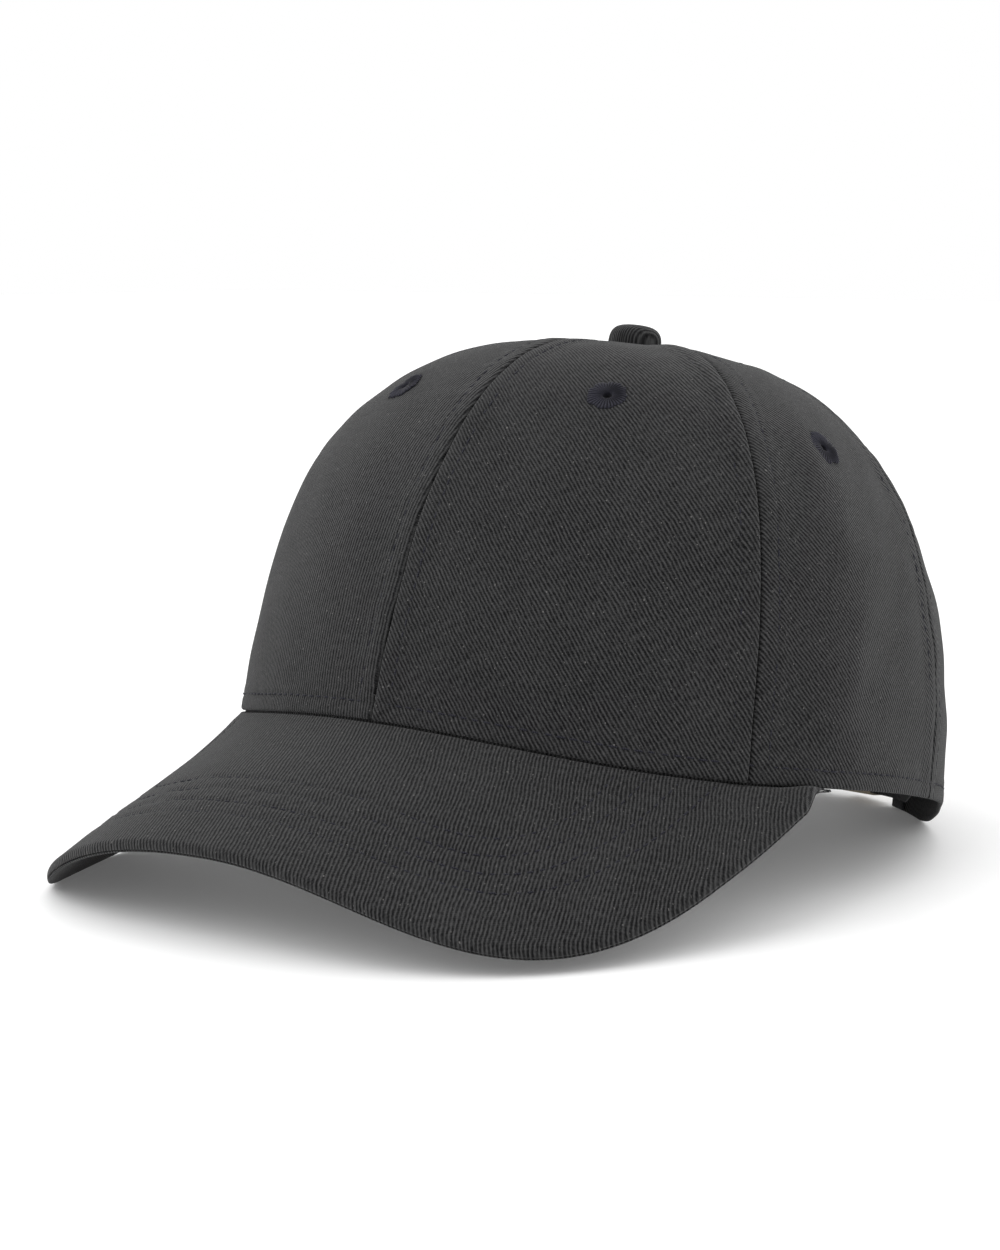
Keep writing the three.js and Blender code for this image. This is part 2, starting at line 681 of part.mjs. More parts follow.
function block(alongLow, alongHigh, outLow, outHigh, upLow, upHigh) {
  const sizes = [alongHigh - alongLow, outHigh - outLow, upHigh - upLow];
  return new THREE.BoxGeometry(...sizes).translate(
    (alongLow + alongHigh) / 2,
    (outLow + outHigh) / 2,
    (upLow + upHigh) / 2,
  );
}

function rod(radius, length, along, out, sides = 16) {
  return new THREE.CylinderGeometry(radius, radius, length, sides).rotateX(PI / 2).translate(along, out, 0);
}

const cheekInside = STRAP_WIDTH / 2 + BUCKLE_CLEARANCE;
const cheekOutside = cheekInside + BUCKLE_CHEEK;
const plateOut = -STRAP_THICKNESS - BUCKLE_CLEARANCE;
// The strap curves inside the straight frame.
const bowAllowance = BUCKLE_LENGTH ** 2 / (8 * strapFootRadius);
const plateFace = plateOut - bowAllowance;
const cheekOut = barOut + wrapOuter;
const halfLength = BUCKLE_LENGTH / 2;
const pinAlong = PIN_INSET - halfLength;
const barrelRadius = PIN_RADIUS + PIN_CLEARANCE + LEVER_PLATE;
const pinOut = barOut;

const cheeks = [-1, 1].map((end) => {
  const faces = [end * cheekInside, end * cheekOutside].sort((a, b) => a - b);
  return block(-halfLength, halfLength, plateFace - BUCKLE_PLATE, cheekOut, ...faces);
});
const plateSpan = [plateFace - BUCKLE_PLATE, plateFace];
const backPlate = block(-halfLength, halfLength, ...plateSpan, -cheekOutside, cheekOutside);
const barDrop = barAlong ** 2 / (2 * strapFootRadius); // the strap's face falls away from the frame's plane
const keeperBar = rod(BAR_RADIUS, 2 * cheekInside + BUCKLE_CHEEK, barAlong, barOut - barDrop);
const pinHole = rod(PIN_RADIUS + PIN_CLEARANCE, 4 * cheekOutside, pinAlong, pinOut);
piece(
  closure,
  "buckle_frame",
  cut(join(backPlate, ...cheeks, keeperBar), pinHole).applyMatrix4(bucklePlace),
  "metal",
);
piece(
  closure,
  "buckle_pin",
  rod(PIN_RADIUS, 2 * (cheekOutside + PIN_STAND), pinAlong, pinOut).applyMatrix4(bucklePlace),
  "metal",
);

const leverHalf = cheekInside - SEAM_GAP;
const leverTip = barAlong - wrapOuter - SEAM_GAP;
const leverTop = pinOut + barrelRadius;
const leverPlate = block(pinAlong, leverTip, leverTop - LEVER_PLATE, leverTop, -leverHalf, leverHalf);
const leverBarrel = rod(barrelRadius, 2 * leverHalf, pinAlong, pinOut, 20);
piece(
  closure,
  "buckle_lever",
  cut(join(leverPlate, leverBarrel), pinHole).applyMatrix4(bucklePlace),
  "metal",
);

// The keeper is a cloth loop round the buckle's bar, sewn behind the corner.
function keeperLoop() {
  const end = (archEdgeBearing - buckleBearing) * strapFootRadius + KEEPER_OVERLAP;
  const low = LAYER_GAP;
  const wrap = (radius) =>
    evenly(8, -PI / 2, -1.5 * PI).map((angle) => [
      barAlong + radius * cos(angle),
      barOut + radius * sin(angle),
    ]);
  const run = evenly(4, end, barAlong + BAR_RADIUS);
  const outline = [
    ...run.map((along) => [along, low]),
    ...wrap(wrapOuter),
    [barAlong + KEEPER_TOP_LEG, barOut + wrapOuter],
    [barAlong + KEEPER_TOP_LEG, barOut + wrapRadius],
    ...wrap(wrapRadius).toReversed(),
    ...run.toReversed().map((along) => [along, low + KEEPER_THICKNESS]),
  ];
  const rings = [STRAP_LIFT, strapTop].map((height) =>
    outline.map(([along, out]) => strapPoint(buckleBearing + along / strapFootRadius, height, out)),
  );
  return loft(rings);
}
piece(closure, "buckle_keeper_loop", keeperLoop(), "twill");

// ---- Sweatband: a cloth facing turned over a soft pad ----
// It bows in behind the corners, to leave the strap its channel.
const channelAt = (height) =>
  farthestWall(height) - strapRadius(height) + STRAP_THICKNESS + LAYER_GAP;
const channelDepth = max(...[STRAP_LIFT, strapMiddle, strapTop].map(channelAt));
const channelFull = PI - Math.asin(min((strapCurve * sin(tailReach)) / halfWidth, 1));

function sweatbandPoint(azimuth, rise, depth) {
  const ramp = smooth(abs(azimuth), channelFull - CHANNEL_RAMP, channelFull);
  const bow = max(channelDepth - sweatbandDepth, 0) * ramp;
  return tablePoint(azimuth, max(hem(azimuth), 0) + rise, sweatbandDepth + depth + bow);
}

function sweatbandLoop(section, steps) {
  const end = archEdgeAzimuth - SWEATBAND_SHORT / widthPerRadian(archEdgeAzimuth, 0);
  const rings = evenly(steps, -end, end).map((azimuth) =>
    section.map(([depth, rise]) => sweatbandPoint(azimuth, rise, depth)),
  );
  return loft(rings);
}

const padDepth = SWEATBAND_CLOTH + VISOR_GAP;
const facingDepth = padDepth + PAD_THICKNESS + VISOR_GAP;
const sweatbandInside = facingDepth + SWEATBAND_CLOTH;
const bandFoot = SWEATBAND_LIFT;
const bandHead = SWEATBAND_LIFT + SWEATBAND_HEIGHT;
const halfHead = (bandFoot + bandHead) / 2;
const facingSection = [
  [0, bandHead - SWEATBAND_TURN],
  [0, bandHead],
  [sweatbandInside, bandHead],
  [sweatbandInside, halfHead],
  [sweatbandInside, bandFoot],
  [facingDepth, bandFoot],
  [facingDepth, halfHead],
  [facingDepth, bandHead - SWEATBAND_CLOTH],
  [SWEATBAND_CLOTH, bandHead - SWEATBAND_CLOTH],
  [SWEATBAND_CLOTH, bandHead - SWEATBAND_TURN],
];
const padTop = bandHead - SWEATBAND_CLOTH - VISOR_GAP;
const padSection = [
  [padDepth, bandFoot],
  [padDepth, halfHead],
  [padDepth, padTop],
  [padDepth + PAD_THICKNESS, padTop],
  [padDepth + PAD_THICKNESS, halfHead],
  [padDepth + PAD_THICKNESS, bandFoot],
];
piece(crown, "sweatband_facing", sweatbandLoop(facingSection, 44), "twill");
piece(crown, "sweatband_pad", sweatbandLoop(padSection, 44), "foam");

// ---- Label: a blank woven tag inside the wearer's left rear panel, over the sweatband ----
const labelAzimuth = (REAR_SEAM_AZIMUTH + archEdgeAzimuth) / 2;
const labelFoot = bandHead + LABEL_GAP;
const labelHalfTurn = LABEL_WIDTH / 2 / widthPerRadian(labelAzimuth, labelFoot);
const labelCorners = [
  [labelFoot, rearTapeDepth],
  [labelFoot + LABEL_HEIGHT, rearTapeDepth],
  [labelFoot + LABEL_HEIGHT, rearTapeDepth + LABEL_THICKNESS],
  [labelFoot, rearTapeDepth + LABEL_THICKNESS],
];
const labelRings = evenly(3, labelAzimuth - labelHalfTurn, labelAzimuth + labelHalfTurn).map((azimuth) =>
  labelCorners.map(([height, depth]) => tablePoint(azimuth, height, depth)),
);
piece(crown, "blank_label", loft(labelRings), "label");

// ---- Button: covered shell on a shank, held by a washer inside ----
const apex = new THREE.Vector3(0, APEX_SETBACK, CROWN_HEIGHT);

function apexLathe(profile, segments) {
  const turned = new THREE.LatheGeometry(
    profile.map(([x, y]) => new THREE.Vector2(x, y)),
    segments,
  );
  return turned.rotateX(PI / 2).translate(apex.x, apex.y, apex.z).applyMatrix4(crownToTable);
}

// A solid dome; root is how far its straight skirt goes on under its foot.
function dome(radius, height, foot, root, steps, segments) {
  const profile = [
    [0, foot - root],
    [radius, foot - root],
  ];
  for (let i = root > 0 ? 0 : 1; i < steps; i++) {
    const angle = (PI / 2) * (i / steps);
    profile.push([radius * cos(angle) ** BUTTON_FLATNESS, foot + height * sin(angle)]);
  }
  profile.push([0, foot + height]);
  return apexLathe(profile, segments);
}

const buttonFoot = SEAM_GAP;
const shellInset = BUTTON_CLOTH + SEAM_GAP;
const hollowInset = shellInset + SHELL_METAL;
const hollow = (inset, steps, segments) =>
  dome(BUTTON_RADIUS - inset, BUTTON_HEIGHT - inset, buttonFoot, 1, steps, segments);
const covered = dome(BUTTON_RADIUS, BUTTON_HEIGHT, buttonFoot, 0, 6, 24);
piece(crown, "button_cover", cut(covered, hollow(BUTTON_CLOTH, 6, 24)), "twill");
const domed = dome(BUTTON_RADIUS - shellInset, BUTTON_HEIGHT - shellInset, buttonFoot, 0, 5, 20);
piece(crown, "button_shell", cut(domed, hollow(hollowInset, 5, 20)), "metal");

const shankTop = buttonFoot + BUTTON_HEIGHT - hollowInset - SEAM_GAP;
const washerTop = -PANEL_CLOTH - LAYER_GAP;
const washerFoot = washerTop - WASHER_THICKNESS;
const rivet = [
  [0, washerFoot - 2 * SEAM_GAP],
  [SHANK_RADIUS + RIVET_FOOT, washerFoot - 2 * SEAM_GAP],
  [SHANK_RADIUS + RIVET_FOOT, washerFoot - SEAM_GAP],
  [SHANK_RADIUS, washerFoot - SEAM_GAP],
  [SHANK_RADIUS, shankTop - RIVET_HEAD_THICKNESS],
  [SHANK_RADIUS + RIVET_HEAD, shankTop - RIVET_HEAD_THICKNESS],
  [SHANK_RADIUS + RIVET_HEAD, shankTop],
  [0, shankTop],
];
piece(crown, "button_rivet", apexLathe(rivet, 16), "metal");
const washer = [
  [SHANK_RADIUS + SEAM_GAP, washerFoot],
  [WASHER_RADIUS, washerFoot],
  [WASHER_RADIUS, washerTop],
  [SHANK_RADIUS + SEAM_GAP, washerTop],
  [SHANK_RADIUS + SEAM_GAP, washerFoot],
];
piece(crown, "button_washer", apexLathe(washer, 20), "metal");

// ---- Visor ----
const visorRoot = tablePoint(0, hem(0) - HEM_CLEARANCE);

function visorPlace(x, v, lift) {
  return new THREE.Vector3(x, 0, 0)
    .add(visorRoot)
    .addScaledVector(visorAlong, v)
    .addScaledVector(visorUp, lift - archDrop(x, v));
}

// One rib of the visor, at a bearing from the crown's middle: the wall, and how far the sheet reaches.
function visorRib(bearing) {
  const azimuth = Math.atan2(sin(bearing) * FRONT_REACH, cos(bearing) * halfWidth);
  const wall = tablePoint(azimuth, hem(azimuth) - HEM_CLEARANCE);
  const offset = wall.clone().sub(visorRoot);
  const x = wall.x;
  const v = offset.dot(visorAlong);
  const mismatch = offset.dot(visorUp) + archDrop(x, v);
  const edge = outlineSpot(bearing, outlineCentre);
  const full = hypot(edge.x - x, edge.v - v);
  const taper = smooth(abs(bearing), VISOR_TAPER_START, VISOR_END);
  const reach = mix(full, VISOR_TIP_REACH, taper);
  return { azimuth, x, v, mismatch, stepX: (edge.x - x) / full, stepV: (edge.v - v) / full, reach };
}

// out is counted from the crown's wall, and is negative in under it.
function visorPoint(rib, out, depth) {
  if (out <= 0) {
    const under = tablePoint(rib.azimuth, hem(rib.azimuth) - HEM_CLEARANCE, -out);
    return under.addScaledVector(visorUp, -depth);
  }
  const lift = rib.mismatch * Math.exp(-((out / VISOR_SETTLE) ** 2));
  return visorPlace(rib.x + rib.stepX * out, rib.v + rib.stepV * out, lift - depth);
}

// profile is a ring of [share, inset, depth]. A share of -1 is the inner edge, under the crown; 0 is
// the crown's wall, where the sheet bends; and 1 is the outer edge.
function visorSheet(profile, skip) {
  const rings = ribBearings.slice(skip, ribBearings.length - skip).map((bearing) => {
    const rib = visorRib(bearing);
    const turned = min(1, rib.reach / VISOR_NARROW);
    return profile.map(([share, inset, depth]) => {
      const out = share < 0 ? share * VISOR_TUCK : share * rib.reach;
      return visorPoint(rib, out - inset * turned, depth);
    });
  });
  return loft(rings);
}

const VISOR_SHARES = [-1, 0, 0.2, 0.4, 0.6, 0.8];
const middleDepth = visorThickness / 2;

// A cover's sheet turns round the board's edge as far as the seam at mid-thickness.
function coverProfile(face, direction) {
  const inner = face + direction * VISOR_CLOTH;
  const seam = middleDepth - (direction * VISOR_GAP) / 2;
  return [
    ...VISOR_SHARES.map((share) => [share, 0, face]),
    [1, 0.75 * EDGE_ROUNDING, face],
    [1, 0.2 * EDGE_ROUNDING, face + direction * 0.4 * EDGE_ROUNDING],
    [1, 0, face + direction * EDGE_ROUNDING],
    [1, 0, seam],
    [1, VISOR_CLOTH, seam],
    [1, VISOR_CLOTH, inner],
    ...VISOR_SHARES.toReversed().map((share) => [share, 0, inner]),
  ];
}

const boardTop = VISOR_CLOTH + VISOR_GAP;
const boardInset = VISOR_CLOTH + VISOR_GAP;
const boardProfile = [
  ...VISOR_SHARES.map((share) => [share, 0, boardTop]),
  [1, boardInset, boardTop],
  [1, boardInset, boardTop + BOARD_THICKNESS],
  ...VISOR_SHARES.toReversed().map((share) => [share, 0, boardTop + BOARD_THICKNESS]),
];
piece(visor, "visor_top_cover", cut(visorSheet(coverProfile(0, 1), 0), table), "twill");
piece(visor, "visor_under_cover", cut(visorSheet(coverProfile(visorThickness, -1), 0), table), "twill");
piece(visor, "visor_board", cut(visorSheet(boardProfile, BOARD_SHORT), table), "board");

// The origin is under the middle of the whole cap, on the table.
const box = new THREE.Box3().setFromObject(cap);
cap.position.set(-(box.min.x + box.max.x) / 2, -(box.min.y + box.max.y) / 2, -box.min.z);
cap.updateMatrixWorld(true);

export default cap;
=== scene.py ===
# %% [markdown]
# # A structured cap in cotton twill
# A cap is mostly cloth: six panels over a stiff front, a visor of two covers sewn over a board,
# tapes and a sweatband inside, and a strap behind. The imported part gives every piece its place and
# size. Here each one is made again as fine cloth, sewn with real stitches, and given its finish.

# %% Load the frame
import math

import bmesh
import bpy
import numpy as np
from mathutils import Matrix, Vector


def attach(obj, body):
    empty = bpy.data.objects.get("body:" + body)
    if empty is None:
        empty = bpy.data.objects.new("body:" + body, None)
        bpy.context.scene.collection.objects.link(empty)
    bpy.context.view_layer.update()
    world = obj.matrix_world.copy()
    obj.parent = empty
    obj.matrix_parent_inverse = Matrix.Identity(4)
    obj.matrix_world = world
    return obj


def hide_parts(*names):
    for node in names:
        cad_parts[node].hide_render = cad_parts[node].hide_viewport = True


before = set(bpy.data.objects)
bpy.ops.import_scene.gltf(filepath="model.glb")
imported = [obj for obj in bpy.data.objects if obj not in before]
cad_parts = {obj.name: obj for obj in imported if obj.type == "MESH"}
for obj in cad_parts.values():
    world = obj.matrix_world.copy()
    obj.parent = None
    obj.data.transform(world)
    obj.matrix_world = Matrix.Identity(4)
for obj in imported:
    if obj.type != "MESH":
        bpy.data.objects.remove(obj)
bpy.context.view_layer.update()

MM = 0.001

# %% [markdown]
# ## The crown's shape
# A crown is a dome that is square in front and round behind. One formula gives it: an azimuth says
# which way a point faces (0 is the front, a right angle is the wearer's left), and a climb goes from
# the head opening to the button. Two powers, blended by azimuth, set how boxy the dome is. Sheets of
# cloth then lie at a depth under that surface, so every layer follows the same formula.

# %% The crown's sizes, in millimetres
CROWN_WIDTH, CROWN_HEIGHT = 185, 115
FRONT_REACH, REAR_REACH = 78, 122
APEX_SETBACK = 11
FRONT_SEAM, REAR_SEAM = math.radians(63.5), math.radians(111)
FRONT_RISE, SIDE_RISE = 10, 6.5
# In front, at the side and behind: how square the plan is, and how full the dome.
SQUARENESS = (3.03, 2.9, 1.88)
FULLNESS = (1.95, 2.55, 1.88)
# The crown leans forward until its rear hem lies on the table, and moves back to centre the cap.
TILT = math.radians(10.439152)
CAP_SHIFT = 5.80565
PANEL_CLOTH, SEAM_GAP, LAYER_GAP = 0.9, 0.3, 0.4
ARCH_HALF, ARCH_HEIGHT, ARCH_SPRING = 38, 48, 16
HALF_WIDTH = CROWN_WIDTH / 2
AROUND = 85  # millimetres of cloth to a radian, for slow folds
ARCH_EDGE = math.pi - math.asin(ARCH_HALF / HALF_WIDTH)

CROWN_AXES = np.array([
    [1, 0, 0],
    [0, math.cos(TILT), -math.sin(TILT)],
    [0, math.sin(TILT), math.cos(TILT)],
])
CROWN_ORIGIN = np.array([0, CAP_SHIFT, REAR_REACH * math.sin(TILT)])


def to_table(points):
    """From the crown's own frame to the frame the cap stands in."""
    return points @ CROWN_AXES + CROWN_ORIGIN


def smooth(value, low, high):
    t = np.clip((value - low) / (high - low), 0, 1)
    return t * t * (3 - 2 * t)


# %% Points, normals and the hem
def facing(sizes, azimuth):
    front = np.maximum(np.cos(azimuth), 0) ** 2
    rear = np.maximum(-np.cos(azimuth), 0) ** 2
    return sizes[0] * front + sizes[2] * rear + sizes[1] * (1 - front - rear)


def height_at(azimuth, climb):
    return CROWN_HEIGHT * np.sin(climb) ** (2 / facing(FULLNESS, azimuth))


def climb_to_height(azimuth, height):
    level = np.clip(height / CROWN_HEIGHT, 0, 1)
    return np.arcsin(level ** (facing(FULLNESS, azimuth) / 2))


def climb_to_share(azimuth, share):
    return np.arccos(share ** (facing(SQUARENESS, azimuth) / 2))


def share_at(azimuth, height):
    climb = climb_to_height(azimuth, height)
    return np.maximum(np.cos(climb), 0) ** (2 / facing(SQUARENESS, azimuth))


def reach_of(azimuth):
    return np.where(np.cos(azimuth) > 0, FRONT_REACH, REAR_REACH)


def surface(azimuth, height):
    share = share_at(azimuth, height)
    x = share * HALF_WIDTH * np.sin(azimuth)
    y = APEX_SETBACK * (1 - share) - share * reach_of(azimuth) * np.cos(azimuth)
    return np.stack(np.broadcast_arrays(x, y, height), -1)


def normal(azimuth, height):
    step = 0.01
    across = surface(azimuth + step, height) - surface(azimuth - step, height)
    level = np.clip(height / CROWN_HEIGHT, 0, 1)
    squareness, fullness = facing(SQUARENESS, azimuth), facing(FULLNESS, azimuth)
    inward = fullness / CROWN_HEIGHT * level ** (fullness - 1)
    rising = np.stack(np.broadcast_arrays(
        -inward * HALF_WIDTH * np.sin(azimuth),
        inward * (APEX_SETBACK + reach_of(azimuth) * np.cos(azimuth)),
        squareness * share_at(azimuth, height) ** (squareness - 1),
    ), -1)
    outward = np.cross(across, rising)
    return outward / np.linalg.norm(outward, axis=-1, keepdims=True)


def width_per_radian(azimuth, height):
    step = 0.01
    gap = surface(azimuth + step, height) - surface(azimuth - step, height)
    return np.linalg.norm(gap, axis=-1) / (2 * step)


# The hem rests on the table for a short way beside the opening, and rises from there.
REST_LENGTH, SETTLE_LENGTH, TABLE_PRESS = 13, 40, 0.25
REST_START = ARCH_EDGE - REST_LENGTH / width_per_radian(ARCH_EDGE, 0)
SETTLE_START = REST_START - SETTLE_LENGTH / width_per_radian(REST_START, 0)


def hem(azimuth):
    away = np.abs(azimuth)
    rise = FRONT_RISE * np.maximum(np.cos(away), 0) ** 2 + SIDE_RISE * np.sin(away) ** 4
    table = -math.tan(TILT) * REAR_REACH * (1 + np.cos(away)) - TABLE_PRESS
    return rise + (table - rise) * smooth(away, SETTLE_START, REST_START)


print("hem height in front and behind:", hem(0.0), hem(math.pi))

# %% [markdown]
# ## How the cloth lies
# Cloth never follows a formula exactly. The stiffened front is drum-tight and stands a little full at
# its shoulders, it sinks a little round the button, and the sides and back are soft, so they hold slow
# upright folds. These slow shapes are one function of place, so the panels, the stitches and the
# eyelets all move together. The folds are sums of a few waves with fixed phases, which gives the same
# cap each time.

# %% Slow folds of the crown
def waves(a, b, seed, period, count=5):
    """A smooth field between about -1 and 1 over two coordinates in millimetres."""
    draw = np.random.default_rng(seed)
    total = 0
    for _ in range(count):
        turn, phase = draw.uniform(0, math.pi), draw.uniform(0, 2 * math.pi)
        pace = 2 * math.pi / (period * draw.uniform(0.7, 1.5))
        total = total + np.sin((a * math.cos(turn) + b * math.sin(turn)) * pace + phase)
    return total / math.sqrt(count) / 1.4


def near(distance, centre, width):
    """1 at the centre, fading to 0 within about two widths of it."""
    return np.exp(-((distance - centre) / width) ** 2)


SHOULDER, SHOULDER_AZIMUTH, SHOULDER_HEIGHT = 1.5, 0.95, 74
BUTTON_SINK, SINK_RADIUS = 0.9, 16
WIDE_FOLD, NARROW_FOLD, TIGHT_FOLD = 0.75, 0.3, 0.22


def fullness_of_cloth(azimuth, height):
    """How far the cloth stands off the formula, in millimetres."""
    away = np.abs(azimuth)
    from_shoulder = ((away - SHOULDER_AZIMUTH) / 0.3) ** 2 + ((height - SHOULDER_HEIGHT) / 23) ** 2
    shoulder = SHOULDER * np.exp(-from_shoulder)
    sink = -BUTTON_SINK * near(share_at(azimuth, height) * AROUND, SINK_RADIUS, 7)
    soft = smooth(away, FRONT_SEAM - 0.03, FRONT_SEAM + 0.35)
    around = azimuth * AROUND
    folds = WIDE_FOLD * waves(around, height * 0.25, 4, 34) + NARROW_FOLD * waves(around, height, 9, 21)
    held = smooth(height, 4, 30) * (1 - smooth(height, 84, 108))
    taut = smooth(height, 6, 26) * (1 - smooth(height, 96, 112))
    return shoulder + sink + folds * soft * held + TIGHT_FOLD * waves(around, height, 2, 38) * taut


def crown_point(azimuth, height, depth=0.0):
    """A point at a depth under the cloth's outside, in the cap's frame."""
    lift = fullness_of_cloth(azimuth, height) - depth
    return to_table(surface(azimuth, height) + normal(azimuth, height) * np.asarray(lift)[..., None])


def crown_normal(azimuth, height):
    return normal(azimuth, height) @ CROWN_AXES


# %% [markdown]
# ## Making meshes
# Three ways of making a mesh cover the whole cap. A slab is a sheet with an outside and an inside,
# joined round its rim, and cells can be left out for a hole. A loft carries one closed section along
# a path. A row of stitches is many short arched tubes. All are plain arrays of points, because that
# is quick for a hundred thousand faces and leaves every edge where it is wanted. Each mesh also
# carries a cloth coordinate, in millimetres along and across the weave, which the finishes read.

# %% Sheets, lofts and one place to turn arrays into pieces
def quads_of(index):
    corners = [index[:-1, :-1], index[:-1, 1:], index[1:, 1:], index[1:, :-1]]
    return np.stack(corners, -1).reshape(-1, 4)


def cloth_places(across, along):
    """Both parts of the cloth coordinate, brought to one shape."""
    return np.stack(np.broadcast_arrays(across, along), -1)


def girth_along(section):
    """How far round a section each of its points lies."""
    return np.concatenate([[0], np.cumsum(np.hypot(*np.diff(np.asarray(section), axis=0).T))])


def slab(outer, inner, cloth, keep=None):
    """A sheet with an outside and an inside. keep says which of its cells are there."""
    rows, cols = outer.shape[:2]
    kept = np.ones((rows - 1, cols - 1), bool) if keep is None else keep
    index = np.arange(rows * cols).reshape(rows, cols)
    a, b, c, d = index[:-1, :-1], index[:-1, 1:], index[1:, 1:], index[1:, :-1]
    shift = rows * cols
    quads = np.stack([a, b, c, d], -1)[kept]
    faces = [quads, quads[:, ::-1] + shift]
    around = np.pad(kept, 1)
    for down, along, p, q in ((-1, 0, a, b), (0, 1, b, c), (1, 0, c, d), (0, -1, d, a)):
        rim = kept & ~around[1 + down:rows + down, 1 + along:cols + along]
        faces.append(np.stack([q, p, p + shift, q + shift], -1)[rim])
    points = np.concatenate([outer.reshape(-1, 3), inner.reshape(-1, 3)])
    return points, np.concatenate(faces), np.concatenate([cloth.reshape(-1, 2)] * 2)


def loft(rings, cloth):
    """Closed sections, one after another, with both ends closed by a face."""
    steps, count = rings.shape[:2]
    index = np.arange(steps * count).reshape(steps, count)
    faces = list(quads_of(np.concatenate([index, index[:, :1]], 1)))
    faces += [index[0][::-1], index[-1]]
    return rings.reshape(-1, 3), faces, cloth.reshape(-1, 2)


def merge(parts):
    points, faces, cloth, start = [], [], [], 0
    for p, f, c in parts:
        points.append(p)
        faces += [np.asarray(face) + start for face in f]
        cloth.append(c)
        start += len(p)
    return np.concatenate(points), faces, np.concatenate(cloth)


def turned_out(points, faces):
    """Faces with their outsides out, by the sign of the volume that they enclose."""
    volume = 0.0
    for face in faces:
        p = points[face]
        volume += np.einsum("i,ji->", p[0], np.cross(p[1:-1], p[2:]))
    return faces if volume > 0 else [face[::-1] for face in faces]


def piece(name, made, finish, body="crown", replaces=(), weave=90, weld=False):
    """weave is the direction of the twill's lines on the sheet, in degrees from across."""
    points, faces, cloth = made
    used, back = np.unique(np.concatenate([np.ravel(f) for f in faces]), return_inverse=True)
    sizes = [len(f) for f in faces]
    faces = np.split(back, np.cumsum(sizes)[:-1])
    points, cloth = points[used], cloth[used]
    mesh = bpy.data.meshes.new(name)
    mesh.from_pydata(points * MM, [], [f.tolist() for f in turned_out(points, faces)])
    turn = math.radians(weave)
    along = cloth @ np.array([math.cos(turn), math.sin(turn)])
    across = cloth @ np.array([math.sin(turn), -math.cos(turn)])
    field = mesh.attributes.new("cloth", "FLOAT_VECTOR", "POINT")
    places = np.stack([across, along, 0 * along], -1).astype(np.float32)
    field.data.foreach_set("vector", places.ravel())
    if weld:
        shaped = bmesh.new()
        shaped.from_mesh(mesh)
        bmesh.ops.remove_doubles(shaped, verts=shaped.verts, dist=1e-7)
        shaped.to_mesh(mesh)
        shaped.free()
    mesh.shade_smooth()
    made_object = bpy.data.objects.new(name, mesh)
    bpy.context.scene.collection.objects.link(made_object)
    mesh.materials.append(finish)
    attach(made_object, body)
    if replaces:
        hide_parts(*replaces)
    return made_object


# %% Rows of stitches
STITCH_SIDES = 6
STITCH_STATIONS = np.linspace(-0.5, 0.5, 5)
STITCH_GIRTH = np.array([0.6, 0.95, 1, 0.95, 0.6])
STITCH_STAND, STITCH_SINK = 0.1, 0.2  # its middle stands up, and its ends go down into their holes
STITCH_WIDENING, STITCH_STRAY = 1.15, 0.05


def stitches(path, outward, seed, pitch=3.1, length=2.45, radius=0.21):
    """Short arched tubes along a path of points, which stand on the side that outward says."""
    steps = np.linalg.norm(np.diff(path, axis=0), axis=1)
    travelled = np.concatenate([[0], np.cumsum(steps)])
    count = max(1, int(travelled[-1] / pitch))
    draw = np.random.default_rng(seed)
    middles = (np.arange(count) + 0.5) * travelled[-1] / count
    lengths = length * draw.uniform(0.9, 1.08, count)
    spots = middles[:, None] + lengths[:, None] * STITCH_STATIONS
    centre = np.stack([np.interp(spots, travelled, path[:, k]) for k in range(3)], -1)
    up = np.stack([np.interp(spots, travelled, outward[:, k]) for k in range(3)], -1)
    up /= np.linalg.norm(up, axis=-1, keepdims=True)
    ahead = np.gradient(centre, axis=1)
    ahead /= np.linalg.norm(ahead, axis=-1, keepdims=True)
    side = np.cross(ahead, up)
    up = np.cross(side, ahead)
    arch = 1 - (2 * np.abs(STITCH_STATIONS)) ** 2.2
    centre = centre + up * (arch * (STITCH_STAND + STITCH_SINK) - STITCH_SINK)[None, :, None]
    centre = centre + side * draw.normal(0, STITCH_STRAY, (count, 1, 1))
    angles = np.arange(STITCH_SIDES) * 2 * math.pi / STITCH_SIDES
    ring = (side[:, :, None] * np.cos(angles)[:, None] * STITCH_WIDENING
            + up[:, :, None] * np.sin(angles)[:, None])
    points = centre[:, :, None] + ring * (radius * STITCH_GIRTH)[None, :, None, None]
    index = np.arange(points[..., 0].size).reshape(count, len(STITCH_STATIONS), STITCH_SIDES)
    faces = []
    for one in index:
        faces += list(quads_of(np.concatenate([one, one[:, :1]], 1)))
        faces += [one[0][::-1], one[-1]]
    cloth = cloth_places(spots[:, :, None], angles * radius)
    return points.reshape(-1, 3), faces, cloth.reshape(-1, 2)


# %% [markdown]
# ## Shader maths in Python
# Weave, thread and brushed metal are sums of waves and noise. Written node by node they would be
# unreadable, so a small class lets a node's output take part in ordinary expressions.

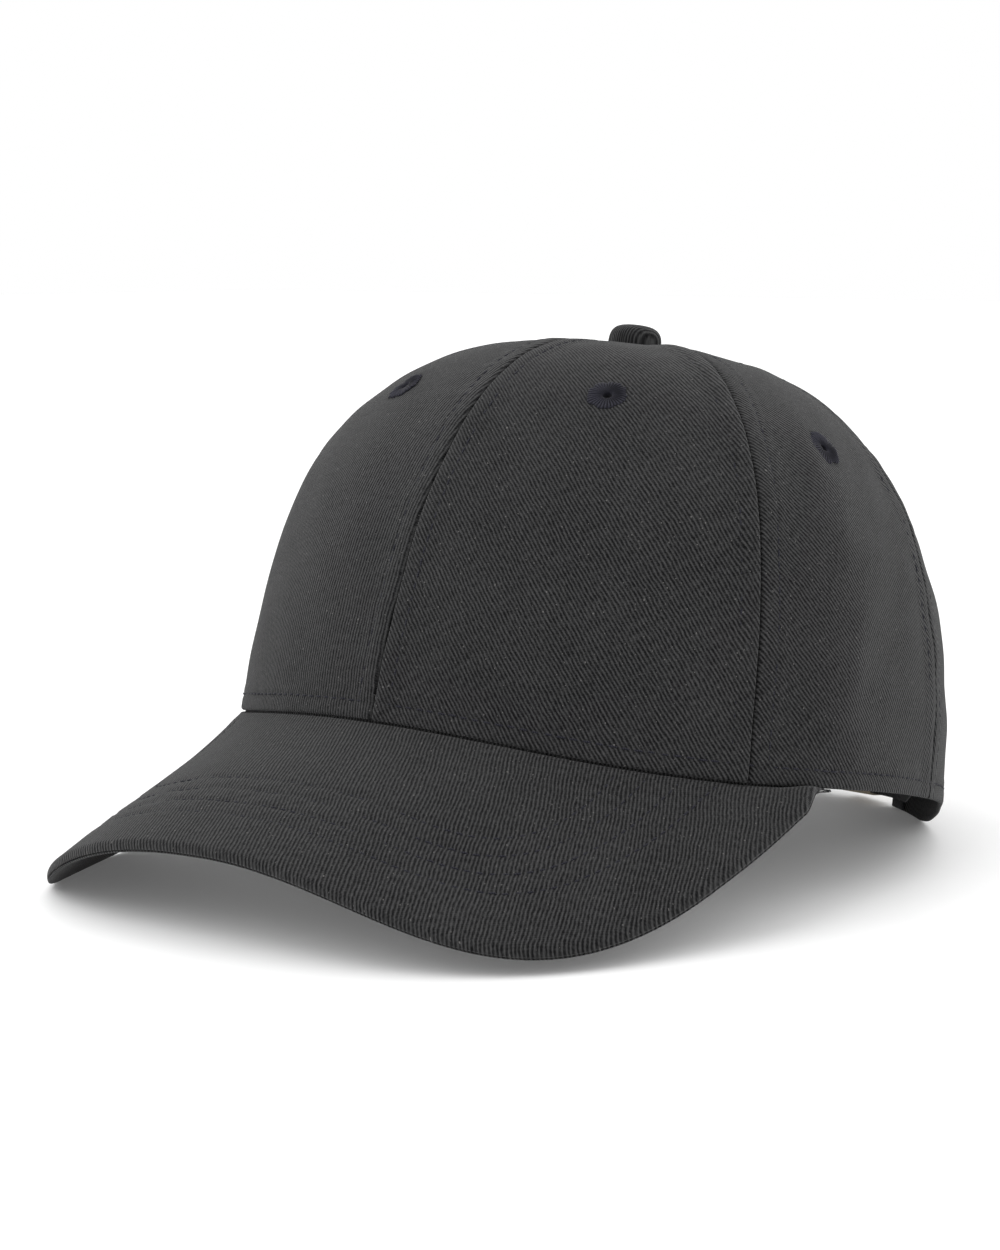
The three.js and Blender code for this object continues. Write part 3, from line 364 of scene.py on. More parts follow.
# %% A socket that can be added, multiplied and subtracted
class Field:
    """One output of a shader node. An expression of Fields adds the Math nodes that work it out."""

    def __init__(self, out):
        self.out = out

    def maths(self, operation, *terms):
        vectors = [t for t in terms if isinstance(t, Field) and t.out.type in ("VECTOR", "RGBA")]
        kind = "ShaderNodeVectorMath" if vectors else "ShaderNodeMath"
        made = self.out.id_data.nodes.new(kind)
        made.operation = operation
        for socket, term in zip(made.inputs, terms):
            if isinstance(term, Field):
                self.out.id_data.links.new(term.out, socket)
            elif vectors and not hasattr(term, "__len__"):
                socket.default_value = (term,) * 3
            else:
                socket.default_value = term
        return Field(made.outputs[0])

    def __add__(self, other):
        return self.maths("ADD", self, other)

    def __radd__(self, other):
        return self.maths("ADD", other, self)

    def __sub__(self, other):
        return self.maths("SUBTRACT", self, other)

    def __rsub__(self, other):
        return self.maths("SUBTRACT", other, self)

    def __mul__(self, other):
        return self.maths("MULTIPLY", self, other)

    def __rmul__(self, other):
        return self.maths("MULTIPLY", other, self)

    def __truediv__(self, other):
        return self.maths("DIVIDE", self, other)

    def __rtruediv__(self, other):
        return self.maths("DIVIDE", other, self)

    def __pow__(self, other):
        return self.maths("POWER", self, other)

    def sine(self):
        return self.maths("SINE", self)

    def size(self):
        return self.maths("ABSOLUTE", self)

    def at_most(self, other):
        return self.maths("MINIMUM", self, other)

    def at_least(self, other):
        return self.maths("MAXIMUM", self, other)

    def between(self, low, high):
        """0 below low, 1 above high, and a straight ramp between."""
        return ((self - low) / (high - low)).at_most(1).at_least(0)


# %% A finish: one material and the single method that adds any other node
class Finish:
    def __init__(self, name):
        self.material = bpy.data.materials.new(name)
        self.material.use_nodes = True
        self.tree = self.material.node_tree
        self.tree.nodes.clear()

    def node(self, kind, settings=None, output=0, **sockets):
        """Adds a node. Its settings come first, then the value or link of each named socket."""
        made = self.tree.nodes.new("ShaderNode" + kind)
        for key, value in (settings or {}).items():
            if key == "stops":
                for stop, (place, colour) in zip(made.color_ramp.elements, value):
                    stop.position, stop.color = place, colour
            else:
                setattr(made, key, value)
        for key, value in sockets.items():
            found = [s for s in made.inputs if key in (s.identifier, s.name.replace(" ", ""))]
            if isinstance(value, Field):
                self.tree.links.new(value.out, found[0])
            else:
                found[0].default_value = value
        return Field(made.outputs[output])

    def cloth(self):
        """Millimetres across the weave's lines and along them."""
        return self.node("Attribute", {"attribute_name": "cloth"}, output=1)

    def spot(self):
        """The place in the cap itself, in metres, for what has no weave."""
        return self.node("TexCoord", output=3)

    def parts(self, vector):
        across = self.node("SeparateXYZ", Vector=vector)
        return across, Field(across.out.node.outputs[1])

    def noise(self, vector, scale, detail=2.0, roughness=0.5):
        return self.node("TexNoise", Vector=vector, Scale=scale, Detail=detail, Roughness=roughness)

    def mixed(self, share, first, second):
        return self.node("Mix", {"data_type": "RGBA"}, output=2,
                         Factor_Float=share, A_Color=first, B_Color=second)

    def done(self, colour, roughness, height=None, relief=0.0, **shader):
        """relief is the depth that a height of 1 stands for, in millimetres."""
        if height is not None:
            shader["Normal"] = self.node("Bump", Strength=1.0, Distance=relief * MM, Height=height)
        shade = self.node("BsdfPrincipled", BaseColor=colour, Roughness=roughness, **shader)
        output = self.tree.nodes.new("ShaderNodeOutputMaterial")
        self.tree.links.new(shade.out, output.inputs["Surface"])
        return self.material


# %% [markdown]
# ## Brushed cotton twill
# Twill's yarns pass over two or three others and step sideways each row, so the cloth shows slanting
# ribs, here about a millimetre apart. The ribs are one sine wave across the weave, bent a little by
# noise since yarn is uneven, and cut into short floats by a second noise that is stretched along the
# rib. Brushing leaves a haze of fibre: a soft sheen, slow blotches, and a few pale specks of lint.

# %% The twill finish
TWILL_RIB, TWILL_YARN, TWILL_RELIEF = 0.96, 0.62, 0.24
LINT_SHOWS, LINT_TONE = 0.6, (0.16, 0.155, 0.15, 1)


def twill(name, dark, light):
    f = Finish(name)
    place = f.cloth()
    across, along = f.parts(place)
    bend = f.noise(place, 0.11, 1.0) * 1.1 + f.noise(place, 0.9, 2.0) * 0.42
    ribs = ((across + bend) * (2 * math.pi / TWILL_RIB)).sine() * 0.5 + 0.5
    stretched = f.node("CombineXYZ", X=across * 1.3, Y=along * 0.5)
    floats = f.noise(stretched, 1.4, 3.0, 0.65)
    yarn = ((along + across * 0.35) * (2 * math.pi / TWILL_YARN)).sine() * 0.5 + 0.5
    fuzz = f.noise(place, 3.1, 2.0, 0.7)
    blotch = f.noise(place, 0.035, 3.0, 0.6)
    slub = f.noise(f.node("CombineXYZ", X=across * 0.2, Y=along * 1.6), 0.5, 2.0)
    lint = f.noise(place, 1.3, 1.0, 0.3).between(0.735, 0.775)
    height = ribs * 0.62 + floats * 0.34 + yarn * 0.12 + fuzz * 0.16
    tone = ribs ** 1.5 * 0.66 + (floats - 0.5) * 1.3 + (fuzz - 0.5) * 0.7 + (yarn - 0.5) * 0.12
    tone = tone + (blotch - 0.5) * 0.28 + (slub - 0.5) * 0.3 + 0.1
    colour = f.mixed(tone.between(0.0, 1.0), dark, light)
    colour = f.mixed(lint * LINT_SHOWS, colour, LINT_TONE)
    return f.done(colour, 0.86 + fuzz * 0.12, height, TWILL_RELIEF,
                  SheenWeight=0.13, SheenRoughness=0.4, SpecularIORLevel=0.16)


TWILL = twill("charcoal_twill", (0.0012, 0.0012, 0.0017, 1), (0.056, 0.056, 0.0565, 1))

# %% [markdown]
# ## Thread, tape and the inner materials
# Thread is two plies twisted together, so its tone runs in slanting bands along each stitch. Tape is a
# plain weave: two crossing waves. Buckram is the same with wide gaps and a dry, sized surface. Each
# finish reads the same cloth coordinate.

# %% Thread
def thread(name, dark, light, ply=0.55):
    f = Finish(name)
    across, along = f.parts(f.cloth())
    twist = ((across + along * 0.6) * (2 * math.pi / ply)).sine() * 0.5 + 0.5
    fibre = f.noise(f.node("CombineXYZ", X=across, Y=along * 3), 2.2, 2.0)
    colour = f.mixed((twist * 0.6 + fibre * 0.5).between(0.1, 1.0), dark, light)
    return f.done(colour, 0.5 + fibre * 0.2, twist + fibre * 0.4, 0.06,
                  SheenWeight=0.05, SpecularIORLevel=0.14)


STITCH_THREAD = thread("stitching_thread", (0.004, 0.004, 0.007, 1), (0.023, 0.023, 0.033, 1))
EYELET_THREAD = thread("eyelet_thread", (0.003, 0.003, 0.005, 1), (0.027, 0.0265, 0.039, 1), ply=0.8)


# %% Plain weave: tape, buckram, the foam's scrim and the label
def plain_weave(name, dark, light, yarn, relief, open_weave=0.0, roughness=0.85, sheen=0.15):
    f = Finish(name)
    place = f.cloth()
    across, along = f.parts(place)
    drift = f.noise(place, 0.3, 1.0) * 0.5
    warp = ((across + drift) * (math.pi / yarn)).sine()
    weft = ((along + drift) * (math.pi / yarn)).sine()
    over = warp * weft * 0.5 + 0.5
    gaps = (1 - warp.size()) * (1 - weft.size())
    fuzz = f.noise(place, 2.4, 3.0, 0.65)
    blotch = f.noise(place, 0.06, 2.0)
    tone = over * 0.45 + fuzz * 0.35 + blotch * 0.3 - gaps * open_weave
    colour = f.mixed(tone.between(0.05, 1.0), dark, light)
    height = over * 0.7 + fuzz * 0.3 - gaps * open_weave
    return f.done(colour, roughness + fuzz * 0.1, height, relief, SheenWeight=sheen)


TAPE = plain_weave("seam_tape", (0.007, 0.007, 0.009, 1), (0.034, 0.034, 0.039, 1),
                   yarn=0.45, relief=0.12)
BUCKRAM = plain_weave("buckram", (0.2, 0.195, 0.18, 1), (0.62, 0.61, 0.57, 1),
                      yarn=0.85, relief=0.3, open_weave=1.3, roughness=0.8, sheen=0.0)
PADDING = plain_weave("padding", (0.5, 0.48, 0.43, 1), (0.78, 0.76, 0.7, 1),
                      yarn=2.2, relief=0.4, roughness=0.9, sheen=0.3)
LABEL = plain_weave("woven_label", (0.52, 0.5, 0.46, 1), (0.8, 0.78, 0.73, 1),
                    yarn=0.22, relief=0.05, roughness=0.5, sheen=0.1)
print("finishes:", [m.name for m in bpy.data.materials if m.node_tree])

# %% [markdown]
# ## Crown panels
# A panel is cut flat, sewn along both sides and drawn tight, so its shape is a patch of the crown with
# these additions: it rolls under into each seam, stands up over the folded allowance as far as the
# topstitching, dips where the thread pulls it down, and puckers a little between. Distances to the
# seams and the hem are measured over the patch itself, in millimetres, so all of this keeps its real
# size as the panel narrows towards the button. The same function makes the buckram behind the front.

# %% The panels' sizes
TOPSTITCH = 5.0
HEM_STITCH = 4.3
PANEL_TOP = 2.1 / FRONT_REACH
PATCH_STEPS = 300
EYELET_CUT = 2.6
TABLE_CLEARANCE = 0.02
EYELET_SPOTS = {"front": 96, "side": 90, "rear": 90}
PANEL_SPANS = {
    "front": (0.0, FRONT_SEAM), "side": (FRONT_SEAM, REAR_SEAM), "rear": (REAR_SEAM, math.pi),
}
FINE_EDGE = np.array([0, 0.3, 0.65, 1.1, 1.7, 2.5, 3.4, 4.2, 5.0, 5.8, 6.7, 7.8])


def spread(length, pitch):
    """Shares of a length, close together at both ends and evenly spaced between."""
    middle = np.linspace(9, length - 9, max(2, int((length - 18) / pitch)))
    return np.concatenate([FINE_EDGE, middle, length - FINE_EDGE[::-1]]) / length


def running_length(points, axis):
    steps = np.linalg.norm(np.diff(points, axis=axis), axis=-1)
    start = np.zeros_like(steps[:1] if axis == 0 else steps[:, :1])
    return np.concatenate([start, np.cumsum(steps, axis=axis)], axis=axis)


# %% The patch of the crown that a panel covers
def patch(start, end, inset=0.0, low=0.0, top_share=PANEL_TOP, pitch=1.3):
    """Azimuths, heights and distances over a patch, set in from both seams and raised off the hem."""
    middle = (start + end) / 2
    foot, top = climb_to_height(middle, hem(middle) + low), climb_to_share(middle, top_share)
    upright = surface(middle, height_at(middle, np.linspace(foot, top, PATCH_STEPS)))
    travelled = running_length(upright[:, None], 0)[:, 0]
    rows = np.interp(spread(travelled[-1], pitch), travelled / travelled[-1],
                     np.linspace(0, 1, PATCH_STEPS))[:, None]
    width = abs(end - start) * width_per_radian(middle, 30.0)
    straight = start + (end - start) * spread(width, pitch)[None, :]
    bottom = climb_to_height(straight, hem(straight) + low)
    climb = bottom + (climb_to_share(straight, top_share) - bottom) * rows
    height = height_at(straight, climb)
    height = height + np.minimum(hem(straight) + low, 0) * np.clip(1 - rows / 0.12, 0, 1)
    trim = math.copysign(1, end - start) * inset / width_per_radian(straight, height)
    share = (straight - start) / (end - start)
    azimuth = (start + trim) * (1 - share) + (end - trim) * share
    flat = surface(azimuth, height)
    across = running_length(flat, 1)
    return azimuth, height, across, across[:, -1:], running_length(flat, 0)


def seam_relief(distance, seed, along):
    """Height beside a seam: the allowance under it, the thread's pull, and small puckers."""
    allowance = 0.42 * (1 - smooth(distance, TOPSTITCH + 0.2, TOPSTITCH + 2.4))
    pull = -0.34 * near(distance, TOPSTITCH, 0.75)
    pucker = 0.13 * waves(along, distance * 0.4, seed, 8.5, 3) * near(distance, TOPSTITCH, 4.5)
    return allowance + pull + pucker


def roll(distance, radius, depth):
    """How far an edge turns in: a quarter round of that radius and depth."""
    short = np.clip(1 - distance / np.maximum(radius, 1e-6), 0, 1)
    return depth * (1 - np.sqrt(1 - short ** 2))


# %% Make the six panels
WEAVE = {
    ("left", "front"): 128, ("right", "front"): 96, ("left", "side"): 133,
    ("right", "side"): 122, ("left", "rear"): 112, ("right", "rear"): 118,
}


def in_arch(azimuth, height, grow):
    x, _, z = np.moveaxis(surface(azimuth, height), -1, 0)
    bow = (x / (ARCH_HALF + grow)) ** 2 + ((z - ARCH_SPRING) / (ARCH_HEIGHT - ARCH_SPRING + grow)) ** 2
    legs = (np.abs(x) < ARCH_HALF + grow) & (z < ARCH_SPRING)
    return (np.cos(azimuth) < 0) & ((bow < 1) | legs)


def cell_middles(field):
    return (field[:-1, :-1] + field[1:, :-1] + field[:-1, 1:] + field[1:, 1:]) / 4


def make_panel(side, name):
    sign = 1 if side == "left" else -1
    start, end = (sign * a for a in PANEL_SPANS[name])
    azimuth, height, across, width, up = patch(start, end, SEAM_GAP / 2)
    narrow = np.clip(width / 34, 0.0, 1.0)  # towards the button the seams crowd together
    first, second = across, width - across
    seed = 20 + 7 * list(PANEL_SPANS).index(name) + (3 if sign > 0 else 0)
    relief = narrow * (seam_relief(first, seed, up) + seam_relief(second, seed + 1, up))
    relief += -0.3 * near(up, HEM_STITCH, 0.8) + 0.3 * (1 - smooth(up, 4.6, 7.2))
    relief += 0.1 * waves(across, up * 0.4, seed + 2, 9, 3) * near(up, HEM_STITCH, 4)
    relief += 0.1 * waves(across, up, seed + 4, 16)
    if name == "front":
        relief += 0.45 * near(second, 0, 5) * narrow
    bite = roll(first, 1.5 * narrow, 0.85) + roll(second, 1.5 * narrow, 0.85) + roll(up, 0.9, 0.5)
    inner_bite = roll(up, 0.9, 0.38)
    outer = crown_point(azimuth, height, -relief + bite)
    inner = crown_point(azimuth, height, PANEL_CLOTH - np.minimum(inner_bite, 0.4))
    for sheet in (outer, inner):
        sheet[..., 2] = np.maximum(sheet[..., 2], TABLE_CLEARANCE)
    place = surface(cell_middles(azimuth), cell_middles(height))
    eye = np.linalg.norm(place - surface((start + end) / 2, float(EYELET_SPOTS[name])), axis=-1)
    keep = eye > EYELET_CUT
    if name == "rear":
        keep &= ~in_arch(cell_middles(azimuth), cell_middles(height), 1.2)
    cloth = np.stack([sign * (across - width / 2), up], -1)
    made = slab(outer, inner, cloth, keep)
    return piece(f"{side}_{name}_cloth", made, TWILL, replaces=[f"{side}_{name}_panel"],
                 weave=WEAVE[side, name])


for side in ("left", "right"):
    for name in PANEL_SPANS:
        panel = make_panel(side, name)
        print(panel.name, len(panel.data.polygons), "faces")

# %% [markdown]
# ## Topstitching on the crown
# Two rows run beside each seam, 5 mm off it, through the allowance, and one row goes round above the
# hem. Each stitch is about 2.4 mm of thread on the surface and then a hole. They are separate small
# tubes rather than a picture of stitches, so they catch light and stay sharp from any side.

# %% Rows beside the seams and round the hem
SEAMS = {"centre_front": 0.0, "left_front": FRONT_SEAM, "right_front": -FRONT_SEAM,
         "left_rear": REAR_SEAM, "right_rear": -REAR_SEAM, "centre_rear": math.pi}
ROW_STAND, ROW_FOOT, ROW_TOP_SHARE = 0.02, 1.5, 0.115
ROW_STOP = 0.09


def seam_row(azimuth, offset, low):
    foot = climb_to_height(azimuth, hem(azimuth) + low)
    climbs = np.linspace(foot, climb_to_share(azimuth, ROW_TOP_SHARE), 220)
    height = height_at(azimuth, climbs)
    if low > ARCH_HEIGHT:  # the rows over the opening start above its arch, whatever the hem does
        height = np.maximum(height, low)
    room = share_at(azimuth, height) * 34
    shift = math.copysign(1, offset) * np.minimum(abs(offset), room * 0.42)
    line = azimuth + shift / width_per_radian(azimuth, height)
    return line, height


def crown_stitches(line, height, seed, depth=0.0, flip=1):
    """A row at a depth under the crown; flip is -1 for a row that shows inside the cap."""
    path = crown_point(line, height, depth - ROW_STAND * flip)
    return stitches(path, flip * crown_normal(line, height), seed)


rows = []
for number, (seam, azimuth) in enumerate(SEAMS.items()):
    for offset in (-TOPSTITCH, TOPSTITCH):
        low = ARCH_HEIGHT + 6.5 if seam == "centre_rear" else ROW_FOOT
        rows.append(crown_stitches(*seam_row(azimuth, offset, low), seed=100 + number))
around = np.linspace(-ARCH_EDGE + ROW_STOP, ARCH_EDGE - ROW_STOP, 700)
rows.append(crown_stitches(around, hem(around) + HEM_STITCH, 131))
crown_rows = piece("crown_topstitching", merge(rows), STITCH_THREAD)
print("crown stitches:", len(crown_rows.data.polygons))

# %% [markdown]
# ## Eyelets
# Each panel has a breathing hole, whipped round with thread from a small bore outwards. The ring is one
# closed tube of section swept round the hole, and its height rises and falls thirty-four times, once for
# each stitch, with uneven ends at the outer edge.

# %% Sewn eyelets
EYELET_RADIUS, EYELET_BORE, EYELET_THREADS = 5.0, 1.1, 34


def make_eyelet(side, name):
    sign = 1 if side == "left" else -1
    azimuth = sign * sum(PANEL_SPANS[name]) / 2
    height = float(EYELET_SPOTS[name])
    lining = 1.9 if name == "front" else 0.9
    draw = np.random.default_rng(50 + int(height) + 5 * sign)
    turns = np.linspace(0, 2 * math.pi, EYELET_THREADS * 8, endpoint=False)
    strand = np.abs(np.sin(turns * EYELET_THREADS / 2)) ** 0.8
    each = np.linspace(0, 2 * math.pi, EYELET_THREADS)
    ends = np.interp(turns, each, draw.normal(0, 0.3, EYELET_THREADS))
    uneven = np.interp(turns, each, draw.uniform(0.75, 1.1, EYELET_THREADS))
    share = np.array([0, 0, 0.06, 0.2, 0.42, 0.65, 0.85, 0.97, 1.0, 0.85, 0.3])
    rise = np.array([-lining, -0.2, 0.3, 0.55, 0.62, 0.58, 0.5, 0.32, -0.1, -0.2, -0.25])
    width = EYELET_RADIUS - EYELET_BORE
    radius = EYELET_BORE + share[None] * (width + ends[:, None] * (share[None] > 0.5))
    lift = rise[None] * np.where(rise > 0, (0.18 + 0.82 * strand[:, None]) * uneven[:, None], 1)
    outward = crown_normal(azimuth, height)
    tangent = np.cross(np.array([0, 0, 1.0]), outward)
    tangent /= np.linalg.norm(tangent)
    second = np.cross(outward, tangent)
    centre = crown_point(azimuth, height, -0.05)
    points = (centre + radius[..., None] * (np.cos(turns)[:, None, None] * tangent
                                            + np.sin(turns)[:, None, None] * second)
              + lift[..., None] * outward)
    points[:, -1] = points[:, 0] + 0.35 * (points[:, -2] - points[:, 0])
    count = points.shape[1]
    index = np.arange(points[..., 0].size).reshape(-1, count)
    closed = np.concatenate([index, index[:1]], 0)
    faces = quads_of(np.concatenate([closed, closed[:, :1]], 1))
    wound = turns[:, None] / (2 * math.pi) * EYELET_THREADS * 0.8
    cloth = np.stack([wound + 0 * radius, radius * 0.2], -1)
    made = (points.reshape(-1, 3), list(faces), cloth.reshape(-1, 2))
    return piece(f"{side}_{name}_eyelet_ring", made, EYELET_THREAD,
                 replaces=[f"{side}_{name}_eyelet"])


for side in ("left", "right"):
    for name in PANEL_SPANS:
        make_eyelet(side, name)
print("eyelets: 6 rings of", EYELET_THREADS, "threads")

# %% [markdown]
# ## The button
# A metal shell with a round of cloth pulled over it and gathered underneath. The dome is flat on top
# and steep at its side, so its profile is a quarter round with both parts raised to a power under one.
# The gathers show as faint pleats that fade towards the top. The stretched cloth shows the weave's
# lines closer together than on the panels.

# %% Cloth over the button
BUTTON_RADIUS, BUTTON_HEIGHT, BUTTON_CLOTH = 7.15, 6.0, 0.6
BUTTON_SEGMENTS, BUTTON_PLEATS, PLEAT_DEPTH = 110, 22, 0.012
BUTTON_WEAVE = 1.6


def around_apex(radius, lift):
    """The sheet that a profile of radii and lifts sweeps about the button's axis."""
    turns = np.linspace(0, 2 * math.pi, BUTTON_SEGMENTS, endpoint=False)[:, None]
    uneven = 1 + 0.012 * np.sin(3 * turns + 1) + 0.008 * np.sin(5 * turns)
    side = np.clip(1 - lift / BUTTON_HEIGHT, 0, 1) ** 2
    r = radius * uneven * (1 + PLEAT_DEPTH * side * np.sin(BUTTON_PLEATS * turns))
    flat = np.stack(np.broadcast_arrays(r * np.cos(turns), APEX_SETBACK + r * np.sin(turns),
                                        CROWN_HEIGHT + lift), -1)
    cloth = flat[..., :2] * BUTTON_WEAVE
    index = np.arange(flat[..., 0].size).reshape(BUTTON_SEGMENTS, -1)
    faces = quads_of(np.concatenate([index, index[:1]], 0))
    return to_table(flat.reshape(-1, 3)), list(faces), cloth.reshape(-1, 2)


bend = np.linspace(0, math.pi / 2, 18)
outside = (BUTTON_RADIUS * np.sin(bend) ** 0.6, SEAM_GAP + BUTTON_HEIGHT * np.cos(bend) ** 0.62)
inside = (outside[0][::-1] * (1 - BUTTON_CLOTH / BUTTON_RADIUS),
          SEAM_GAP + (outside[1][::-1] - SEAM_GAP) * (1 - BUTTON_CLOTH / BUTTON_HEIGHT))
lip = (np.array([BUTTON_RADIUS * 0.985, BUTTON_RADIUS * 0.94]), np.array([-0.1, -0.1]))
profile = [np.concatenate([outside[k], lip[k], inside[k]]) for k in (0, 1)]
button = piece("button_cloth", around_apex(*profile), TWILL,
               replaces=["button_cover"], weave=70, weld=True)
print("button:", len(button.data.polygons), "faces")

# %% [markdown]
# ## The visor
# The board is cut flat and bent to an arch, and it meets the crown along the hem. Ribs run out from the
# crown to the rim at even bearings; a point is a rib and a distance out along it. A visor bent by hand
# is never quite even: the wing on the wearer's right curls down more, the other lifts at its rim, and
# the whole turns a little. So the bend is one formula with those three additions. Towards its ends the
# visor thins and runs in under the hem, and it is never let down through the table.

# %% The visor's sheet
VISOR_REACH, VISOR_SLOPE = 61, math.radians(20.9)
VISOR_CLOTH, BOARD_THICKNESS, VISOR_GAP = 0.6, 1.6, 0.3
VISOR_DEPTH = 2 * VISOR_CLOTH + BOARD_THICKNESS + 2 * VISOR_GAP
HEM_CLEARANCE = 0.8
VISOR_END, VISOR_TAPER, VISOR_THIN = math.radians(82.5), math.radians(64), math.radians(66)
END_REACH, END_THICKNESS = 0.8, 0.2
VISOR_TWIST, LEFT_LIFT, TURN_REACH = 0.05, 4.5, 34
ARCH_RADIUS, ARCH_GROWTH, RIGHT_CURL, RIGHT_POWER = 230, 0.0029, 1.1, 2.55
BEND = 105
RIM_SIDE, RIM_POWERS = 2, (4.5, 3.9)
VISOR_ALONG = np.array([0, -math.cos(VISOR_SLOPE), -math.sin(VISOR_SLOPE)])
VISOR_UP = np.array([0, -math.sin(VISOR_SLOPE), math.cos(VISOR_SLOPE)])
OUTLINE_CENTRE = -FRONT_REACH / math.cos(VISOR_SLOPE)


def wall_point(azimuth, depth=0.0):
    """Where the visor is sewn: just under the hem, at a depth in from the cloth's outside."""
    height = hem(azimuth) - HEM_CLEARANCE
    lift = -np.asarray(depth)[..., None]
    return to_table(surface(azimuth, height) + normal(azimuth, height) * lift)


VISOR_ROOT = wall_point(np.float64(0))


def arch_drop(x, v):
    """How far the bent visor lies under its flat plane."""
    share = np.abs(x) / HALF_WIDTH
    curl = np.where(x < 0, RIGHT_CURL * share ** RIGHT_POWER, share ** 2)
    return HALF_WIDTH ** 2 * curl * np.exp(ARCH_GROWTH * v) / ARCH_RADIUS


def bent_width(x):
    """Millimetres along the arch from the middle."""
    turn = x / BEND
    return BEND / 2 * (turn * np.sqrt(1 + turn ** 2) + np.arcsinh(turn))


def rim_spot(bearing):
    """The rim's place on a bearing, found by halving: the outline is a squared-off oval."""
    low, high = np.zeros_like(bearing), np.full_like(bearing, 300.0)
    for _ in range(50):
        r = (low + high) / 2
        across = r * np.abs(np.sin(bearing)) / (HALF_WIDTH + RIM_SIDE)
        forward = r * np.maximum(np.cos(bearing), 0) / (VISOR_REACH - OUTLINE_CENTRE)
        inside = across ** RIM_POWERS[0] + forward ** RIM_POWERS[1] < 1
        low, high = np.where(inside, r, low), np.where(inside, high, r)
    return low * np.sin(bearing), OUTLINE_CENTRE + low * np.cos(bearing)


# %% The ribs
class Ribs:
    """The visor's ribs at the given bearings: the wall they start from, and how far they reach."""

    def __init__(self, bearing):
        self.azimuth = np.arctan2(np.sin(bearing) * FRONT_REACH, np.cos(bearing) * HALF_WIDTH)
        wall = wall_point(self.azimuth)
        self.wall_height = wall[:, 2]
        offset = wall - VISOR_ROOT
        self.x, self.v = wall[:, 0], offset @ VISOR_ALONG
        self.mismatch = offset @ VISOR_UP + arch_drop(self.x, self.v)
        edge_x, edge_v = rim_spot(bearing)
        full = np.hypot(edge_x - self.x, edge_v - self.v)
        self.step_x, self.step_v = (edge_x - self.x) / full, (edge_v - self.v) / full
        taper = np.clip((np.abs(bearing) - VISOR_TAPER) / (VISOR_END - VISOR_TAPER), 0, 1) ** 1.25
        self.reach = full + (END_REACH - full) * taper
        self.thin = 1 - (1 - END_THICKNESS) * smooth(np.abs(bearing), VISOR_THIN, VISOR_END)
        along = np.stack([np.gradient(edge_x), np.gradient(edge_v)], -1)
        along /= np.linalg.norm(along, axis=-1, keepdims=True)
        self.square = np.abs(along[:, 1] * self.step_x - along[:, 0] * self.step_v)

    def points(self, out, depth):
        """Points at a distance out and a depth under the sheet, with one row for each rib.

        A distance under 0 goes up the crown's wall instead, where the visor is sewn on.
        """
        x, v, mismatch, step_x, step_v = (
            a[:, None] for a in (self.x, self.v, self.mismatch, self.step_x, self.step_v))
        far = np.maximum(out, 0)
        px, pv = x + step_x * far, v + step_v * far
        lift = mismatch * np.exp(-((far / 20) ** 2)) - arch_drop(px, pv)
        turned = smooth(far, 0, TURN_REACH)
        lift = lift + LEFT_LIFT * turned * np.maximum(px / HALF_WIDTH, 0) ** 3
        px, pv = px - VISOR_TWIST * turned * pv, pv - VISOR_TWIST * turned * px
        open_air = VISOR_ROOT + px[..., None] * np.array([1, 0, 0]) + pv[..., None] * VISOR_ALONG
        open_air = open_air + lift[..., None] * VISOR_UP
        # It rises no higher than the hem that it leaves, with a soft stop half a millimetre deep.
        rise = open_air[..., 2] - (self.wall_height[:, None] + 0.45 - 0.03 * far)
        open_air[..., 2] -= smooth(far, 0, 2) * (rise + np.sqrt(rise ** 2 + 0.25)) / 2
        # Its underside settles on the table within the last 1.5 mm.
        low = open_air[..., 2] - VISOR_DEPTH * VISOR_UP[2]
        open_air[..., 2] += np.where(low < -1.5, -low, np.clip(1.5 - low, 0, 3) ** 2 / 6)
        under = wall_point(np.broadcast_to(self.azimuth[:, None], out.shape), np.maximum(-out, 0))
        sheet = np.where((out > 0)[..., None], open_air, under)
        thin = self.thin[:, None]
        tuck = 0.8 * (1 - thin) * (1 - smooth(far, 0, 2))
        return sheet - (depth * thin - tuck)[..., None] * VISOR_UP


bearings = np.linspace(-VISOR_END, VISOR_END, 230)
ribs = Ribs(bearings)
print("visor reach in the middle:", float(ribs.reach[len(bearings) // 2]))

# %% [markdown]
# ## Visor covers
# Both covers are sewn to each other at the rim, turned, pulled over the board and quilted to it with
# four rows that follow the rim. They come from one function: the top one faces up and the under one
# down. Each dips into the rows, lifts a little between them, and puckers along them. At the rim each
# turns through a quarter round and meets the other in a seam under the middle of the thickness.

# %% The covers' sizes and their quilting
ROW_INSETS = (15.0, 20.5, 26.0, 31.6)
ROW_DIP, ROW_PUCKER, ROW_DEPTH = 0.34, 0.12, 0.18
ROWS_END = math.radians(71)
RIM_TURN, RIM_SEAM = 1.7, 0.68
VISOR_WEAVE = 65


def quilting(out, side_seed):
    """Height over a plain cover: a dip at each row, a slight crown between, and small puckers."""
    inset = (ribs.reach[:, None] - out) * ribs.square[:, None]
    rows = sum(-ROW_DIP * near(inset, centre, 0.5) for centre in ROW_INSETS)
    crown = 0.12 * smooth(inset, 2, 8) * (1 - smooth(inset, 40, 48))
    around = ribs.x[:, None] + ribs.step_x[:, None] * out
    pucker = ROW_PUCKER * waves(around, inset, side_seed, 6, 3) * near(inset, 23, 12)
    slow = 0.2 * waves(around, inset, side_seed + 1, 42) * smooth(out, 3, 15) * smooth(inset, 3, 15)
    return (rows + crown + pucker + slow) * smooth(ribs.reach[:, None], 3, 14) * smooth(out, 0.5, 4)


